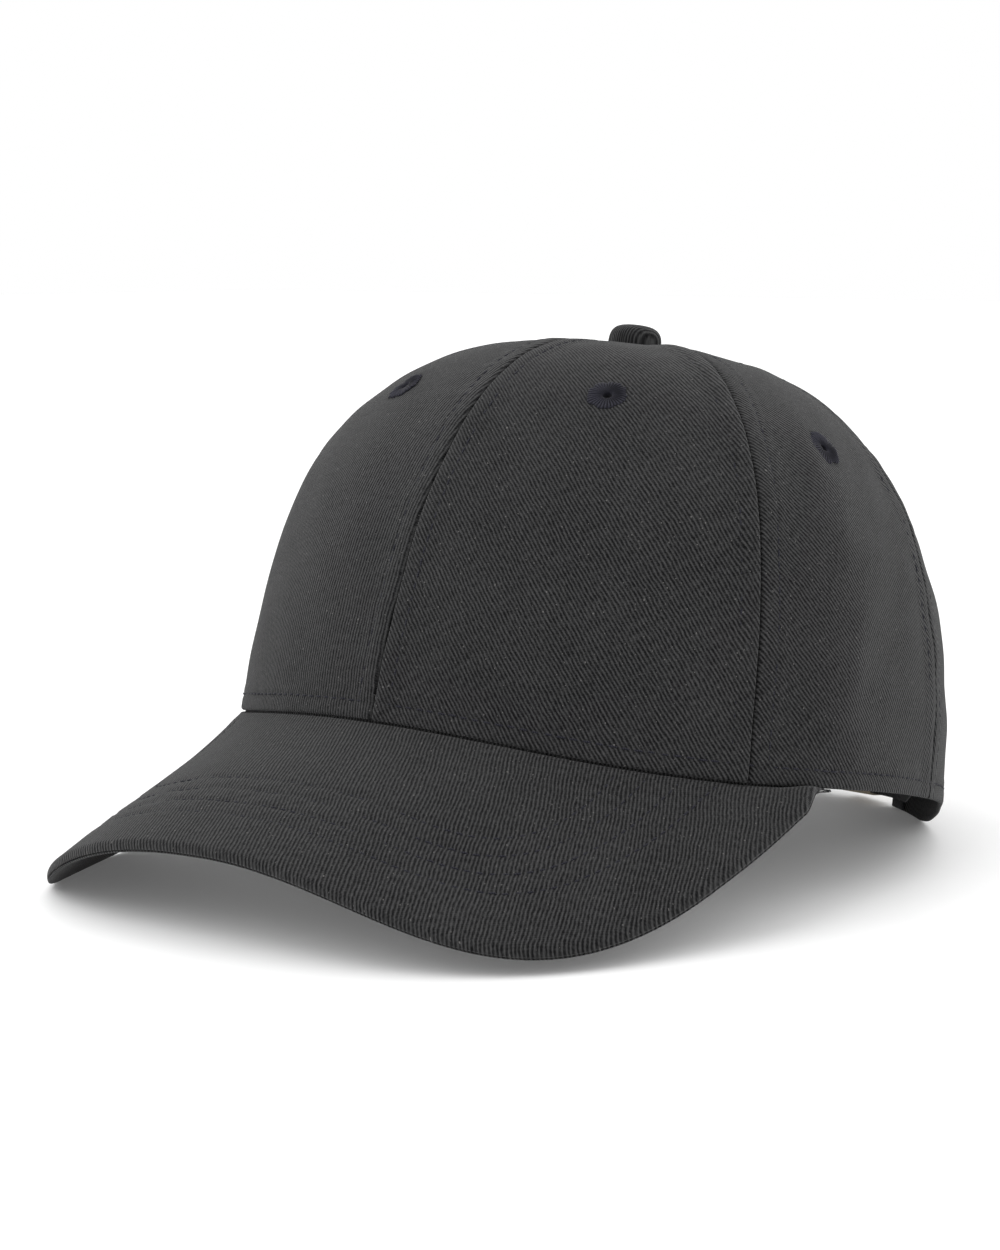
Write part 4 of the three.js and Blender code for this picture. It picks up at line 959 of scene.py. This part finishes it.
# %% The two covers
def make_cover(name, face, direction, seed):
    """direction is 1 for the cover whose inside is deeper than its face, and -1 for the other."""
    turned = np.minimum(1, ribs.reach / 5)[:, None]
    shares = np.concatenate([[-1, -0.5, 0], np.linspace(0, 1, 60)[1:-1] ** 0.97])[None]
    reach = ribs.reach[:, None]
    out = np.where(shares < 0, shares * 4 * ribs.thin[:, None], shares * (reach - RIM_TURN * turned))
    depth = face - direction * quilting(np.maximum(out, 0), seed)
    if direction > 0:  # the top cover stands up a little where it leaves the hem
        depth = depth - 0.15 * (1 - smooth(out, 1.5, 7))
    seam = VISOR_DEPTH * RIM_SEAM - direction * VISOR_GAP / 2
    angles = np.linspace(0, math.pi / 2, 7)[None]
    edge_out = reach - RIM_TURN * turned * (1 - np.sin(angles))
    edge_depth = face + direction * abs(seam - face) * (1 - np.cos(angles))
    outer_out = np.concatenate([out, edge_out], 1)
    outer_depth = np.concatenate([depth, edge_depth + 0 * edge_out], 1)
    inset = VISOR_CLOTH * turned * smooth(outer_out, reach - 8, reach)
    inner_out = np.where(outer_out > 0, outer_out - inset, outer_out)
    left = 1 - smooth(outer_out, reach - RIM_TURN * turned, reach)
    inner_depth = (np.maximum if direction > 0 else np.minimum)(
        face + direction * VISOR_CLOTH, outer_depth + direction * VISOR_CLOTH * left)
    inner_depth = np.where(outer_out > reach - 0.05, seam, inner_depth)
    outer, inner = ribs.points(outer_out, outer_depth), ribs.points(inner_out, inner_depth)
    cloth = np.stack([bent_width(ribs.x[:, None] + ribs.step_x[:, None] * outer_out),
                      ribs.v[:, None] + ribs.step_v[:, None] * outer_out], -1)
    return piece(name + "_cloth", slab(outer, inner, cloth), TWILL,
                 replaces=[name], weave=VISOR_WEAVE)


make_cover("visor_top_cover", 0.0, 1, 61)
make_cover("visor_under_cover", VISOR_DEPTH, -1, 67)


# %% [markdown]
# ## What the covers hold
# The board is a moulded sheet that ends short of the rim and of the hem's ends, and takes the same bend
# as the covers, so it comes from the same ribs. The covers' raw edges are turned up behind the front
# hem and caught in its seam. That allowance is what closes the view between the visor and the crown.

# %% The board, and the covers' seam allowance
BOARD_END, BOARD_INSET = math.radians(72), 1.5
ALLOWANCE_END, ALLOWANCE_LOW, ALLOWANCE_HIGH = 1.3, -0.75, 3.1
ALLOWANCE_DEPTHS = (0.98, 1.24)


def make_board():
    inner = Ribs(np.linspace(-BOARD_END, BOARD_END, 200))
    face = VISOR_CLOTH + VISOR_GAP
    reach = np.maximum(inner.reach - BOARD_INSET, 0.4)[:, None]
    out = np.linspace(0, 1, 25)[None] * reach
    rounded = roll(reach - out, 0.7, 0.5)
    sheets = [inner.points(out, d) for d in (face + rounded, face + BOARD_THICKNESS - rounded)]
    cloth = np.stack([inner.x[:, None] + inner.step_x[:, None] * out, inner.v[:, None] + out], -1)
    return slab(*sheets, cloth)


line = np.linspace(-ALLOWANCE_END, ALLOWANCE_END, 200)[None]
rise = np.linspace(ALLOWANCE_LOW, ALLOWANCE_HIGH, 6)[:, None]
sheets = [crown_point(line, hem(line) + rise, depth + 0 * rise) for depth in ALLOWANCE_DEPTHS]
piece("visor_seam_allowance", slab(*sheets, cloth_places(line * AROUND, rise)), TWILL)
print("the allowance turns up", ALLOWANCE_HIGH, "mm behind the hem")


# %% Rows of stitches over and under the visor
def visor_row(inset, depth, sign, seed):
    """A row at a distance in from the rim; sign is 1 on top and -1 underneath."""
    out = ribs.reach - inset / np.maximum(ribs.square, 0.3)
    kept = (out > 1.2) & (np.abs(bearings) < ROWS_END)
    path = ribs.points(out[:, None], np.full((len(out), 1), depth))[:, 0][kept]
    x = (ribs.x + ribs.step_x * out)[kept]
    v = (ribs.v + ribs.step_v * out)[kept]
    slope = 2 * x * np.exp(ARCH_GROWTH * v) / ARCH_RADIUS
    outward = sign * (VISOR_UP[None] + slope[:, None] * np.array([1, 0, 0]))
    return stitches(path, outward, pitch=2.9, length=2.2, seed=seed)


VISOR_FACES = (("top", ROW_DEPTH, 1, 200), ("under", VISOR_DEPTH - ROW_DEPTH, -1, 210))
for face, depth, sign, seed in VISOR_FACES:
    rows = [visor_row(inset, depth, sign, seed + i) for i, inset in enumerate(ROW_INSETS)]
    piece(f"visor_{face}_stitching", merge(rows), STITCH_THREAD)
print("visor rows:", len(ROW_INSETS), "above and below")

# %% [markdown]
# ## Inside the crown: buckram and seam tapes
# The front stands up by itself because buckram, a stiff open gauze, lines both front panels. Every seam
# is covered by a tape, sewn down along both edges by the same rows that show outside. Tapes narrow as
# they near the button, where six of them meet.

# %% Buckram
BUCKRAM_DEPTH, BUCKRAM_CLOTH, BUCKRAM_MARGIN = 1.3, 0.8, 3.5
TAPE_CLOTH, TAPE_WIDTH = 0.6, 13
FRONT_TAPE_DEPTH, REAR_TAPE_DEPTH = 2.5, 1.3
WASHER_RADIUS = 5.5

for side, sign in (("left", 1), ("right", -1)):
    azimuth, height, across, width, up = patch(
        0.0, sign * FRONT_SEAM, BUCKRAM_MARGIN, BUCKRAM_MARGIN, (WASHER_RADIUS + 7) / FRONT_REACH, 2.4)
    place = surface(cell_middles(azimuth), cell_middles(height))
    eye = place - surface(sign * FRONT_SEAM / 2, float(EYELET_SPOTS["front"]))
    keep = np.linalg.norm(eye, axis=-1) > EYELET_CUT
    sheets = [crown_point(azimuth, height, BUCKRAM_DEPTH + d) for d in (0, BUCKRAM_CLOTH)]
    made = slab(*sheets, np.stack([across, up], -1), keep)
    piece(f"{side}_front_stiffener", made, BUCKRAM, replaces=[f"{side}_front_buckram"])
print("buckram depth:", BUCKRAM_DEPTH, "mm under the crown")


# %% Seam tapes, with their rows of stitches
TAPE_SPREAD = math.sin(0.8675683904653388 / 2)  # half the narrowest angle between two seams
TAPE_SHARES = np.array([-1, -0.985, -0.93, -0.7, -0.35, 0, 0.35, 0.7, 0.93, 0.985, 1])[None]
TAPE_EDGE = 0.28 * np.array([1, 0.5, 0.1, 0, 0, 0, 0, 0, 0.1, 0.5, 1])[None]
TAPE_ROWS = (-0.78, 0.78)
OVER_ARCH = 6.15
TAPES = {
    "front_centre": (0.0, FRONT_TAPE_DEPTH), "left_front": (FRONT_SEAM, FRONT_TAPE_DEPTH),
    "right_front": (-FRONT_SEAM, FRONT_TAPE_DEPTH), "left_rear": (REAR_SEAM, REAR_TAPE_DEPTH),
    "right_rear": (-REAR_SEAM, REAR_TAPE_DEPTH), "rear_centre": (math.pi, REAR_TAPE_DEPTH),
}
inside_rows = []
for number, (name, (azimuth, depth)) in enumerate(TAPES.items()):
    foot = ARCH_HEIGHT + OVER_ARCH if name == "rear_centre" else hem(azimuth) + BUCKRAM_MARGIN
    top = (WASHER_RADIUS + BUCKRAM_MARGIN) / FRONT_REACH
    climbs = np.linspace(climb_to_height(azimuth, foot), climb_to_share(azimuth, top), 130)[:, None]
    height = height_at(azimuth, climbs)
    middle = surface(azimuth, height)
    reach = np.hypot(middle[..., 0], middle[..., 1] - APEX_SETBACK)
    half = np.minimum(TAPE_WIDTH / 2, reach * TAPE_SPREAD - LAYER_GAP)
    across, upward = TAPE_SHARES * half, 60 * climbs
    line = azimuth + across / width_per_radian(azimuth, height)
    rounded = TAPE_EDGE * np.ones_like(line)
    ridge = -0.12 * (1 - np.abs(TAPE_SHARES)) + 0.04 * waves(upward, across, number, 7, 3)
    hollow = TAPE_CLOTH - rounded - ridge * (np.abs(TAPE_SHARES) < 0.9)
    outer = crown_point(line, height + 0 * line, depth + rounded)
    inner = crown_point(line, height + 0 * line, depth + hollow)
    cloth = cloth_places(across, upward * 1.5)
    piece(f"{name}_seam_tape", slab(outer, inner, cloth), TAPE, replaces=[f"{name}_tape"])
    for offset in TAPE_ROWS:
        edge = azimuth + offset * (half / width_per_radian(azimuth, height))[:, 0]
        inside_rows.append(crown_stitches(edge[2:-2], height[2:-2, 0], 300 + number,
                                          depth=depth + TAPE_CLOTH - 0.05, flip=-1))
piece("tape_stitching", merge(inside_rows), STITCH_THREAD)
print("tapes:", len(TAPES))

# %% [markdown]
# ## The sweatband
# A strip of twill folded over a strip of foam and sewn to the hem. Its inner face swells between the row
# near its top and the one near its foot, and the cloth gathers slightly along both rows. One closed
# section is carried round the head opening, and it stands further in behind the rear corners, where the
# closure strap runs.

# %% The sweatband's section and path
BAND_DEPTH, CHANNEL, CHANNEL_FULL, CHANNEL_RAMP = 3.5, 6.648661, 2.3393106, math.radians(16)
BAND_ROWS = (28.5, 5.0)
BAND_RADIUS = 90  # millimetres of band to a radian
BAND_END = ARCH_EDGE - 1 / width_per_radian(ARCH_EDGE, 0)


def band_point(azimuth, rise, depth):
    """A point of the band: a rise over the hem, and a depth inside the band's outer face."""
    ramp = smooth(np.abs(azimuth), CHANNEL_FULL - CHANNEL_RAMP, CHANNEL_FULL)
    height = np.maximum(hem(azimuth), 0) + rise
    inward = BAND_DEPTH + depth + (CHANNEL - BAND_DEPTH) * ramp
    return to_table(surface(azimuth, height) - normal(azimuth, height) * inward[..., None])


inner_rise = np.linspace(30.9, 2.2, 26)
swell = 0.75 * np.clip(np.sin(np.pi * (inner_rise - 5) / 23.5), 0, 1) ** 0.5
rows_pull = -0.25 * near(inner_rise, BAND_ROWS[0], 0.8) - 0.25 * near(inner_rise, BAND_ROWS[1], 0.8)
# Up the outer face and over the fold, down the swelling inner face, and back up behind it.
section = np.array(
    [(0, 25.5), (0, 31.2), (0.25, 31.9), (0.8, 32.4), (1.6, 32.55), (2.4, 32.4), (2.95, 31.8)]
    + list(zip(3.2 + swell + rows_pull, inner_rise))
    + [(3.1, 1.6), (2.85, 1.5), (2.55, 1.7), (2.5, 8), (2.5, 20), (2.5, 30.6), (2.2, 31.4), (1.6, 31.75),
       (1.0, 31.5), (0.7, 30.9), (0.7, 28), (0.65, 25.7), (0.35, 25.4)])
turns = np.linspace(-BAND_END, BAND_END, 300)[:, None]
arc = turns * BAND_RADIUS
gathered = (section[:, 0] > 3.05) * near(np.abs(section[:, 1] - 17), 12, 6)
gathers = 0.12 * waves(arc, section[:, 1] * 0.6, 77, 6.5, 4) * gathered
rings = band_point(turns, section[:, 1] + 0 * turns, section[:, 0] + gathers)
cloth = cloth_places(arc, girth_along(section))
piece("sweatband_cloth", loft(rings, cloth), TWILL, replaces=["sweatband_facing"], weave=60)

# %% The foam inside it and the rows that hold it
foam = np.array([(1.0, 5.4), (1.0, 17), (1.0, 30.9), (1.3, 31.3), (1.9, 31.3), (2.2, 30.9), (2.2, 17),
                 (2.2, 5.4), (1.9, 5.0), (1.3, 5.0)])
rings = band_point(turns[::2], foam[:, 1] + 0 * turns[::2], foam[:, 0] + 0 * turns[::2])
cloth = cloth_places(arc[::2], foam[:, 1])
pad = piece("sweatband_foam", loft(rings, cloth), PADDING, replaces=["sweatband_pad"])
band_rows = []
line = np.linspace(-BAND_END + 0.02, BAND_END - 0.02, 600)
for number, rise in enumerate(BAND_ROWS):
    path = band_point(line, np.full_like(line, rise), np.full_like(line, 3.05))
    height = np.maximum(hem(line), 0) + rise
    band_rows.append(stitches(path, -crown_normal(line, height), seed=401 + number))
piece("sweatband_stitching", merge(band_rows), STITCH_THREAD)
print("sweatband length in mm:", round(float(2 * BAND_END * BAND_RADIUS)))

# %% A blank woven label over the sweatband
LABEL_AZIMUTH, LABEL_FOOT, LABEL_TURN = 2.3277825, 34.5, 0.1139539
LABEL_WIDTH, LABEL_HEIGHT, LABEL_CLOTH = 24, 16, 0.4
shares = np.array([0, 0.015, 0.05, 0.3, 0.5, 0.7, 0.95, 0.985, 1])
azimuth = LABEL_AZIMUTH + LABEL_TURN * (2 * shares[None] - 1)
height = LABEL_FOOT + LABEL_HEIGHT * shares[:, None] + 0 * azimuth
edge = np.minimum(shares, 1 - shares)
rounded = roll(np.minimum(edge[None], edge[:, None]) * 20, 0.5, 0.16)
sheets = [crown_point(azimuth, height, REAR_TAPE_DEPTH + d) for d in (rounded, LABEL_CLOTH - rounded)]
cloth = cloth_places(LABEL_WIDTH * shares[None], LABEL_HEIGHT * shares[:, None])
piece("plain_label", slab(*sheets, cloth), LABEL, replaces=["blank_label"])
print("label:", LABEL_WIDTH, "by", LABEL_HEIGHT, "mm, blank")

# %% [markdown]
# ## Rear opening
# The opening is an arch, bound with a folded tape: the tape wraps the cut edge of both rear panels and
# is sewn through. The section is a rounded U, carried up one leg of the arch, over the bow, and down.

# %% Places along the arch
LEG_FOOT, BINDING_FOOT, BINDING_ROW = 0.55, 0.05, 4.6


def arch_place(turn, grow):
    """turn runs 0 to 1 up the right leg, to 2 over the bow, and to 3 down the left leg."""
    leg = turn < 1 or turn > 2
    angle = math.pi * (2 - turn)
    x = (ARCH_HALF + grow) * ((-1 if turn < 1 else 1) if leg else math.cos(angle))
    bow = 0 if leg else (ARCH_HEIGHT - ARCH_SPRING + grow) * math.sin(angle)
    rise = turn if turn < 1 else 3 - turn
    height, azimuth = ARCH_SPRING + bow, math.pi - math.asin(x / HALF_WIDTH)
    for _ in range(12):
        share = float(share_at(azimuth, height))
        azimuth = math.pi - math.asin(max(-1.0, min(1.0, x / (HALF_WIDTH * share))))
        if leg:
            low = float(hem(2 * math.pi - azimuth if azimuth > math.pi else azimuth)) + LEG_FOOT
            height = low + (ARCH_SPRING - low) * rise
    return azimuth, height


def arch_point(turn, grow, depth):
    azimuth, height = arch_place(turn, grow)
    mirrored = azimuth - 2 * math.pi if azimuth > math.pi else azimuth
    lift = fullness_of_cloth(mirrored, height) - depth
    spot = to_table(surface(azimuth, height) + normal(azimuth, height) * lift)
    return spot, crown_normal(azimuth, height)


# %% Binding round the opening
half_turn = np.linspace(-math.pi / 2, math.pi / 2, 7)
u_outside, u_inside = ([(0.45 - r * math.cos(a), 0.45 + r * math.sin(a)) for a in half_turn]
                       for r in (1.35, 0.85))
section = ([(5.75, -0.72), (5.9, -0.62), (6, -0.55)][::-1] + [(5.6, -0.85), (4.6, -0.86), (2.5, -0.95)]
           + u_outside + [(2.5, 1.86), (4.6, 1.78), (5.6, 1.78), (5.9, 1.66), (6, 1.5), (5.85, 1.32)]
           + u_inside[::-1] + [(5.85, -0.42)])
turn_steps = np.concatenate([np.linspace(0, 1, 12)[:-1], np.linspace(1, 2, 90),
                             np.linspace(2, 3, 12)[1:]])
rings = np.array([[arch_point(turn, *spot)[0] for spot in section] for turn in turn_steps])
cloth = cloth_places(girth_along(section)[None], running_length(rings[:, :1], 0))
rings[..., 2] = np.maximum(rings[..., 2], BINDING_FOOT)
piece("opening_binding", loft(rings, cloth), TAPE, replaces=["rear_opening_binding"])

edge_rows = []
for depth, flip, seed in ((-0.93, 1, 411), (1.82, -1, 412)):
    spots = [arch_point(turn, BINDING_ROW, depth) for turn in turn_steps[1:-1]]
    path, outward = (np.array([s[k] for s in spots]) for k in (0, 1))
    edge_rows.append(stitches(path, flip * outward, seed=seed))
piece("binding_stitching", merge(edge_rows), STITCH_THREAD)
print("binding sections:", len(rings))

# %% [markdown]
# ## The closure
# A strap of the same twill is sewn behind the wearer's right corner and runs through a small metal
# buckle at the left. The strap is a band of a cone, so it can slide along itself. It rides on its own
# body, and so does the buckle's lever. The buckle's frame, pin and lever keep the part's own shapes,
# with their edges broken by a small bevel as a stamped metal piece's are.

# %% The strap and its rows
STRAP_RADIUS, STRAP_LEAN, STRAP_AXIS = 73.56225, 0.0847794, 44.103418
STRAP_LOW, STRAP_HIGH, STRAP_WIDTH, STRAP_CLOTH = 2.6, 20.6, 18.0, 1.2
STRAP_ROW = 2.4
ARCH_BEARING, BUCKLE_BEARING, CORNER_RADIUS = 0.5095979, 0.3587053, 77.8965818
SEWN_TAIL, FREE_TAIL = 20, 28


def strap_point(bearing, height, out):
    """A point on the cone that the strap is a band of, with bearing 0 straight behind."""
    r = STRAP_RADIUS - STRAP_LEAN * (height - STRAP_LOW) + out
    spots = np.broadcast_arrays(r * np.sin(bearing), STRAP_AXIS + r * np.cos(bearing), height)
    return to_table(np.stack(spots, -1))


start, end = -ARCH_BEARING - SEWN_TAIL / CORNER_RADIUS, ARCH_BEARING + FREE_TAIL / CORNER_RADIUS
bearing = np.linspace(start, end, 190)[None]
height = STRAP_LOW + STRAP_WIDTH * spread(STRAP_WIDTH, 1.0)[:, None]
inset = np.minimum(height - STRAP_LOW, STRAP_HIGH - height)
ends = np.minimum(bearing - start, end - bearing) * STRAP_RADIUS
rim = roll(np.minimum(inset + 0 * bearing, ends + 0.05), 0.6, 0.5)
rows_pull = 0.2 * near(inset, STRAP_ROW, 0.6)
wave = np.abs(0.06 * waves(bearing * STRAP_RADIUS, height, 91, 12, 3))
outer = strap_point(bearing, height, -rim - rows_pull - wave)
inner = strap_point(bearing, height, -STRAP_CLOTH + rim + rows_pull + wave)
cloth = cloth_places(bearing * STRAP_RADIUS, height)
piece("strap_cloth", slab(outer, inner, cloth), TWILL, body="strap",
      replaces=["closure_strap"], weave=62)
strap_rows = []
line = np.linspace(start + 0.02, end - 0.02, 300)
for height in (STRAP_LOW + STRAP_ROW, STRAP_HIGH - STRAP_ROW):
    for out, flip in ((-0.15, 1), (-STRAP_CLOTH + 0.15, -1)):
        path, stood = (strap_point(line, np.full_like(line, height), o) for o in (out, out + 1))
        seed = int(height * 7) + flip
        strap_rows.append(stitches(path, flip * (stood - path), seed, radius=0.2))
piece("strap_stitching", merge(strap_rows), STITCH_THREAD, body="strap")
print("strap length in mm:", round((end - start) * STRAP_RADIUS))

# %% The keeper loop: a band sewn behind the corner that wraps the buckle's bar
BAR_ALONG, BAR_OUT, KEEPER_CLOTH, KEEPER_TAIL = 6.8, 2.2, 0.8, 8
keeper_end = (ARCH_BEARING - BUCKLE_BEARING) * STRAP_RADIUS + KEEPER_TAIL
wraps = np.linspace(-math.pi / 2, -1.5 * math.pi, 16)
runs = np.linspace(keeper_end, BAR_ALONG + 0.7, 24)
outline = np.array(
    [(a, 0.4) for a in runs]
    + [(BAR_ALONG + 1.8 * math.cos(w), BAR_OUT + 1.8 * math.sin(w)) for w in wraps]
    + [(BAR_ALONG + a, BAR_OUT + b) for a, b in ((3, 1.75), (3.15, 1.4), (3, 1.05))]
    + [(BAR_ALONG + math.cos(w), BAR_OUT + math.sin(w)) for w in wraps[::-1]]
    + [(a, 0.4 + KEEPER_CLOTH) for a in runs[::-1]])
levels = STRAP_WIDTH * spread(STRAP_WIDTH, 1.4)
rings = np.array([strap_point(BUCKLE_BEARING + outline[:, 0] / STRAP_RADIUS, STRAP_LOW + level,
                              outline[:, 1]) for level in levels])
cloth = cloth_places(girth_along(outline)[None], levels[:, None])
piece("keeper_cloth", loft(rings, cloth), TWILL, replaces=["buckle_keeper_loop"], weave=62)

# %% [markdown]
# ## Metal and plastic
# The buckle, the rivet and the button's shell are stamped brass, darkened and then brushed. Bevelled
# edges and high spots are rubbed brighter. Plastic for the visor board is a plain moulded sheet with a
# fine grain. These read the place in the cap itself, in metres, because they have no weave.

# %% Antique brass and the visor board's plastic
f = Finish("antique_brass")
place = f.spot()
brushed = f.noise(f.node("Mapping", Vector=place, Scale=(300, 2200, 2200)), 1.0, 3.0, 0.6)
patina = f.noise(place, 420, 4.0, 0.6)
edges = f.node("NewGeometry", output=7).between(0.5, 0.6)
worn = (edges + patina * 0.5 - 0.1).between(0.0, 1.0)
colour = f.mixed(worn, (0.1, 0.085, 0.065, 1), (0.46, 0.4, 0.3, 1))
BRASS = f.done(colour, 0.3 + patina * 0.22 + brushed * 0.08, brushed * 0.6 + patina * 0.4, 0.02,
               Metallic=1.0)

f = Finish("visor_board_plastic")
place = f.spot()
grain = f.noise(place, 1800, 3.0)
flow = f.noise(f.node("Mapping", Vector=place, Scale=(30, 300, 300)), 1.0, 2.0)
BOARD = f.done(f.mixed(flow, (0.7, 0.7, 0.67, 1), (0.8, 0.8, 0.78, 1)), 0.42 + grain * 0.2, grain, 0.04)


# %% Bevelled copies of the metal pieces
def bevelled(node, body="crown", width=0.12):
    """A brass copy of a node with its sharp edges broken; width is the bevel's, in millimetres."""
    name = node + "_metal"
    shaped = bmesh.new()
    shaped.from_mesh(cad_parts[node].data)
    bmesh.ops.remove_doubles(shaped, verts=shaped.verts, dist=1e-7)
    bmesh.ops.dissolve_limit(shaped, angle_limit=math.radians(1), verts=shaped.verts, edges=shaped.edges)
    sharp = [e for e in shaped.edges if len(e.link_faces) == 2 and e.calc_face_angle() > math.radians(40)]
    bmesh.ops.bevel(shaped, geom=sharp, offset=width * MM, segments=2, profile=0.6, affect="EDGES",
                    clamp_overlap=True)
    mesh = bpy.data.meshes.new(name)
    shaped.to_mesh(mesh)
    shaped.free()
    mesh.shade_smooth()
    mesh.set_sharp_from_angle(angle=math.radians(35))
    mesh.materials.append(BRASS)
    made = bpy.data.objects.new(name, mesh)
    bpy.context.scene.collection.objects.link(made)
    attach(made, body)
    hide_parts(node)


bevelled("buckle_frame", width=0.16)
bevelled("buckle_lever", body="lever", width=0.16)
for node in ("buckle_pin", "button_washer", "button_rivet"):
    bevelled(node)
piece("visor_stiffener", make_board(), BOARD, replaces=["visor_board"])
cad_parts["button_shell"].data.materials.clear()
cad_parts["button_shell"].data.materials.append(BRASS)
print("nodes still shown:", [n for n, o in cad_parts.items() if not o.hide_render])

# %% [markdown]
# ## Studio
# A pale floor that runs back out of sight and glows faintly, so that it stays near white under the
# cap, and an even white surround. Three wide soft suns do the modelling: the key from the front right
# of the cap, one from high above for the top, and a weak one from the side. So the crown's shoulder
# and top are the brightest, and every shadow has a soft edge. The camera stands low, in front and to
# the left of the cap, with a long lens.

# %% The camera
AZIMUTH, ELEVATION = math.radians(39.5123), math.radians(7.91365)
DISTANCE, AIM_RIGHT, AIM_UP = 737.92, -16.003, 60.873
SENSOR, FOCAL_LENGTH = 36, 79.49
back = np.array([math.sin(AZIMUTH) * math.cos(ELEVATION), -math.cos(AZIMUTH) * math.cos(ELEVATION),
                 math.sin(ELEVATION)])
right = np.array([math.cos(AZIMUTH), math.sin(AZIMUTH), 0])
upward = np.cross(back, right)
target = right * AIM_RIGHT + upward * AIM_UP + np.array([0, CAP_SHIFT, 0])
lens = bpy.data.cameras.new("camera")
lens.sensor_fit, lens.sensor_height, lens.sensor_width = "AUTO", SENSOR, SENSOR
lens.lens = FOCAL_LENGTH
camera = bpy.data.objects.new("camera", lens)
axes = Matrix(np.stack([right, upward, back], 1).tolist()).to_4x4()
camera.matrix_world = Matrix.Translation(Vector((target + back * DISTANCE) * MM)) @ axes
bpy.context.scene.collection.objects.link(camera)
bpy.context.scene.camera = camera
print("camera stands", round(float((target + back * DISTANCE)[2])), "mm over the floor")

# %% The floor and the surround
HALF_FLOOR = 6.0
corners = [(x * HALF_FLOOR, y * HALF_FLOOR, 0) for x, y in ((-1, -1), (1, -1), (1, 1), (-1, 1))]
floor_mesh = bpy.data.meshes.new("floor")
floor_mesh.from_pydata(corners, [], [(0, 1, 2, 3)])
floor = bpy.data.objects.new("floor", floor_mesh)
bpy.context.scene.collection.objects.link(floor)
f = Finish("pale_floor")
grain = f.noise(f.spot(), 60, 3.0)
pale = f.mixed(grain, (0.88, 0.88, 0.88, 1), (0.92, 0.92, 0.92, 1))
floor_mesh.materials.append(f.done(pale, 0.6, EmissionColor=(1, 1, 1, 1), EmissionStrength=0.09))

world = bpy.data.worlds.new("surround")
bpy.context.scene.world = world
world.use_nodes = True
world.node_tree.nodes["Background"].inputs["Color"].default_value = (1, 1, 1, 1)
world.node_tree.nodes["Background"].inputs["Strength"].default_value = 1.0
bpy.context.scene.view_settings.view_transform = "Standard"


# %% The suns
def sun(name, azimuth, elevation, strength, softness):
    """A wide soft lamp: where it stands, as an azimuth and an elevation in degrees."""
    data = bpy.data.lights.new(name, "SUN")
    data.energy, data.angle = strength, math.radians(softness)
    light = bpy.data.objects.new(name, data)
    a, e = math.radians(azimuth), math.radians(elevation)
    towards = Vector((math.sin(a) * math.cos(e), -math.cos(a) * math.cos(e), math.sin(e)))
    light.rotation_mode = "QUATERNION"
    light.rotation_quaternion = (-towards).to_track_quat("-Z", "Y")
    bpy.context.scene.collection.objects.link(light)


sun("key", -25, 50, 0.76, 50)
sun("top", 60, 78, 0.5, 60)
sun("fill", 118, 40, 0.22, 45)
print("suns:", [lamp.name for lamp in bpy.data.lights])
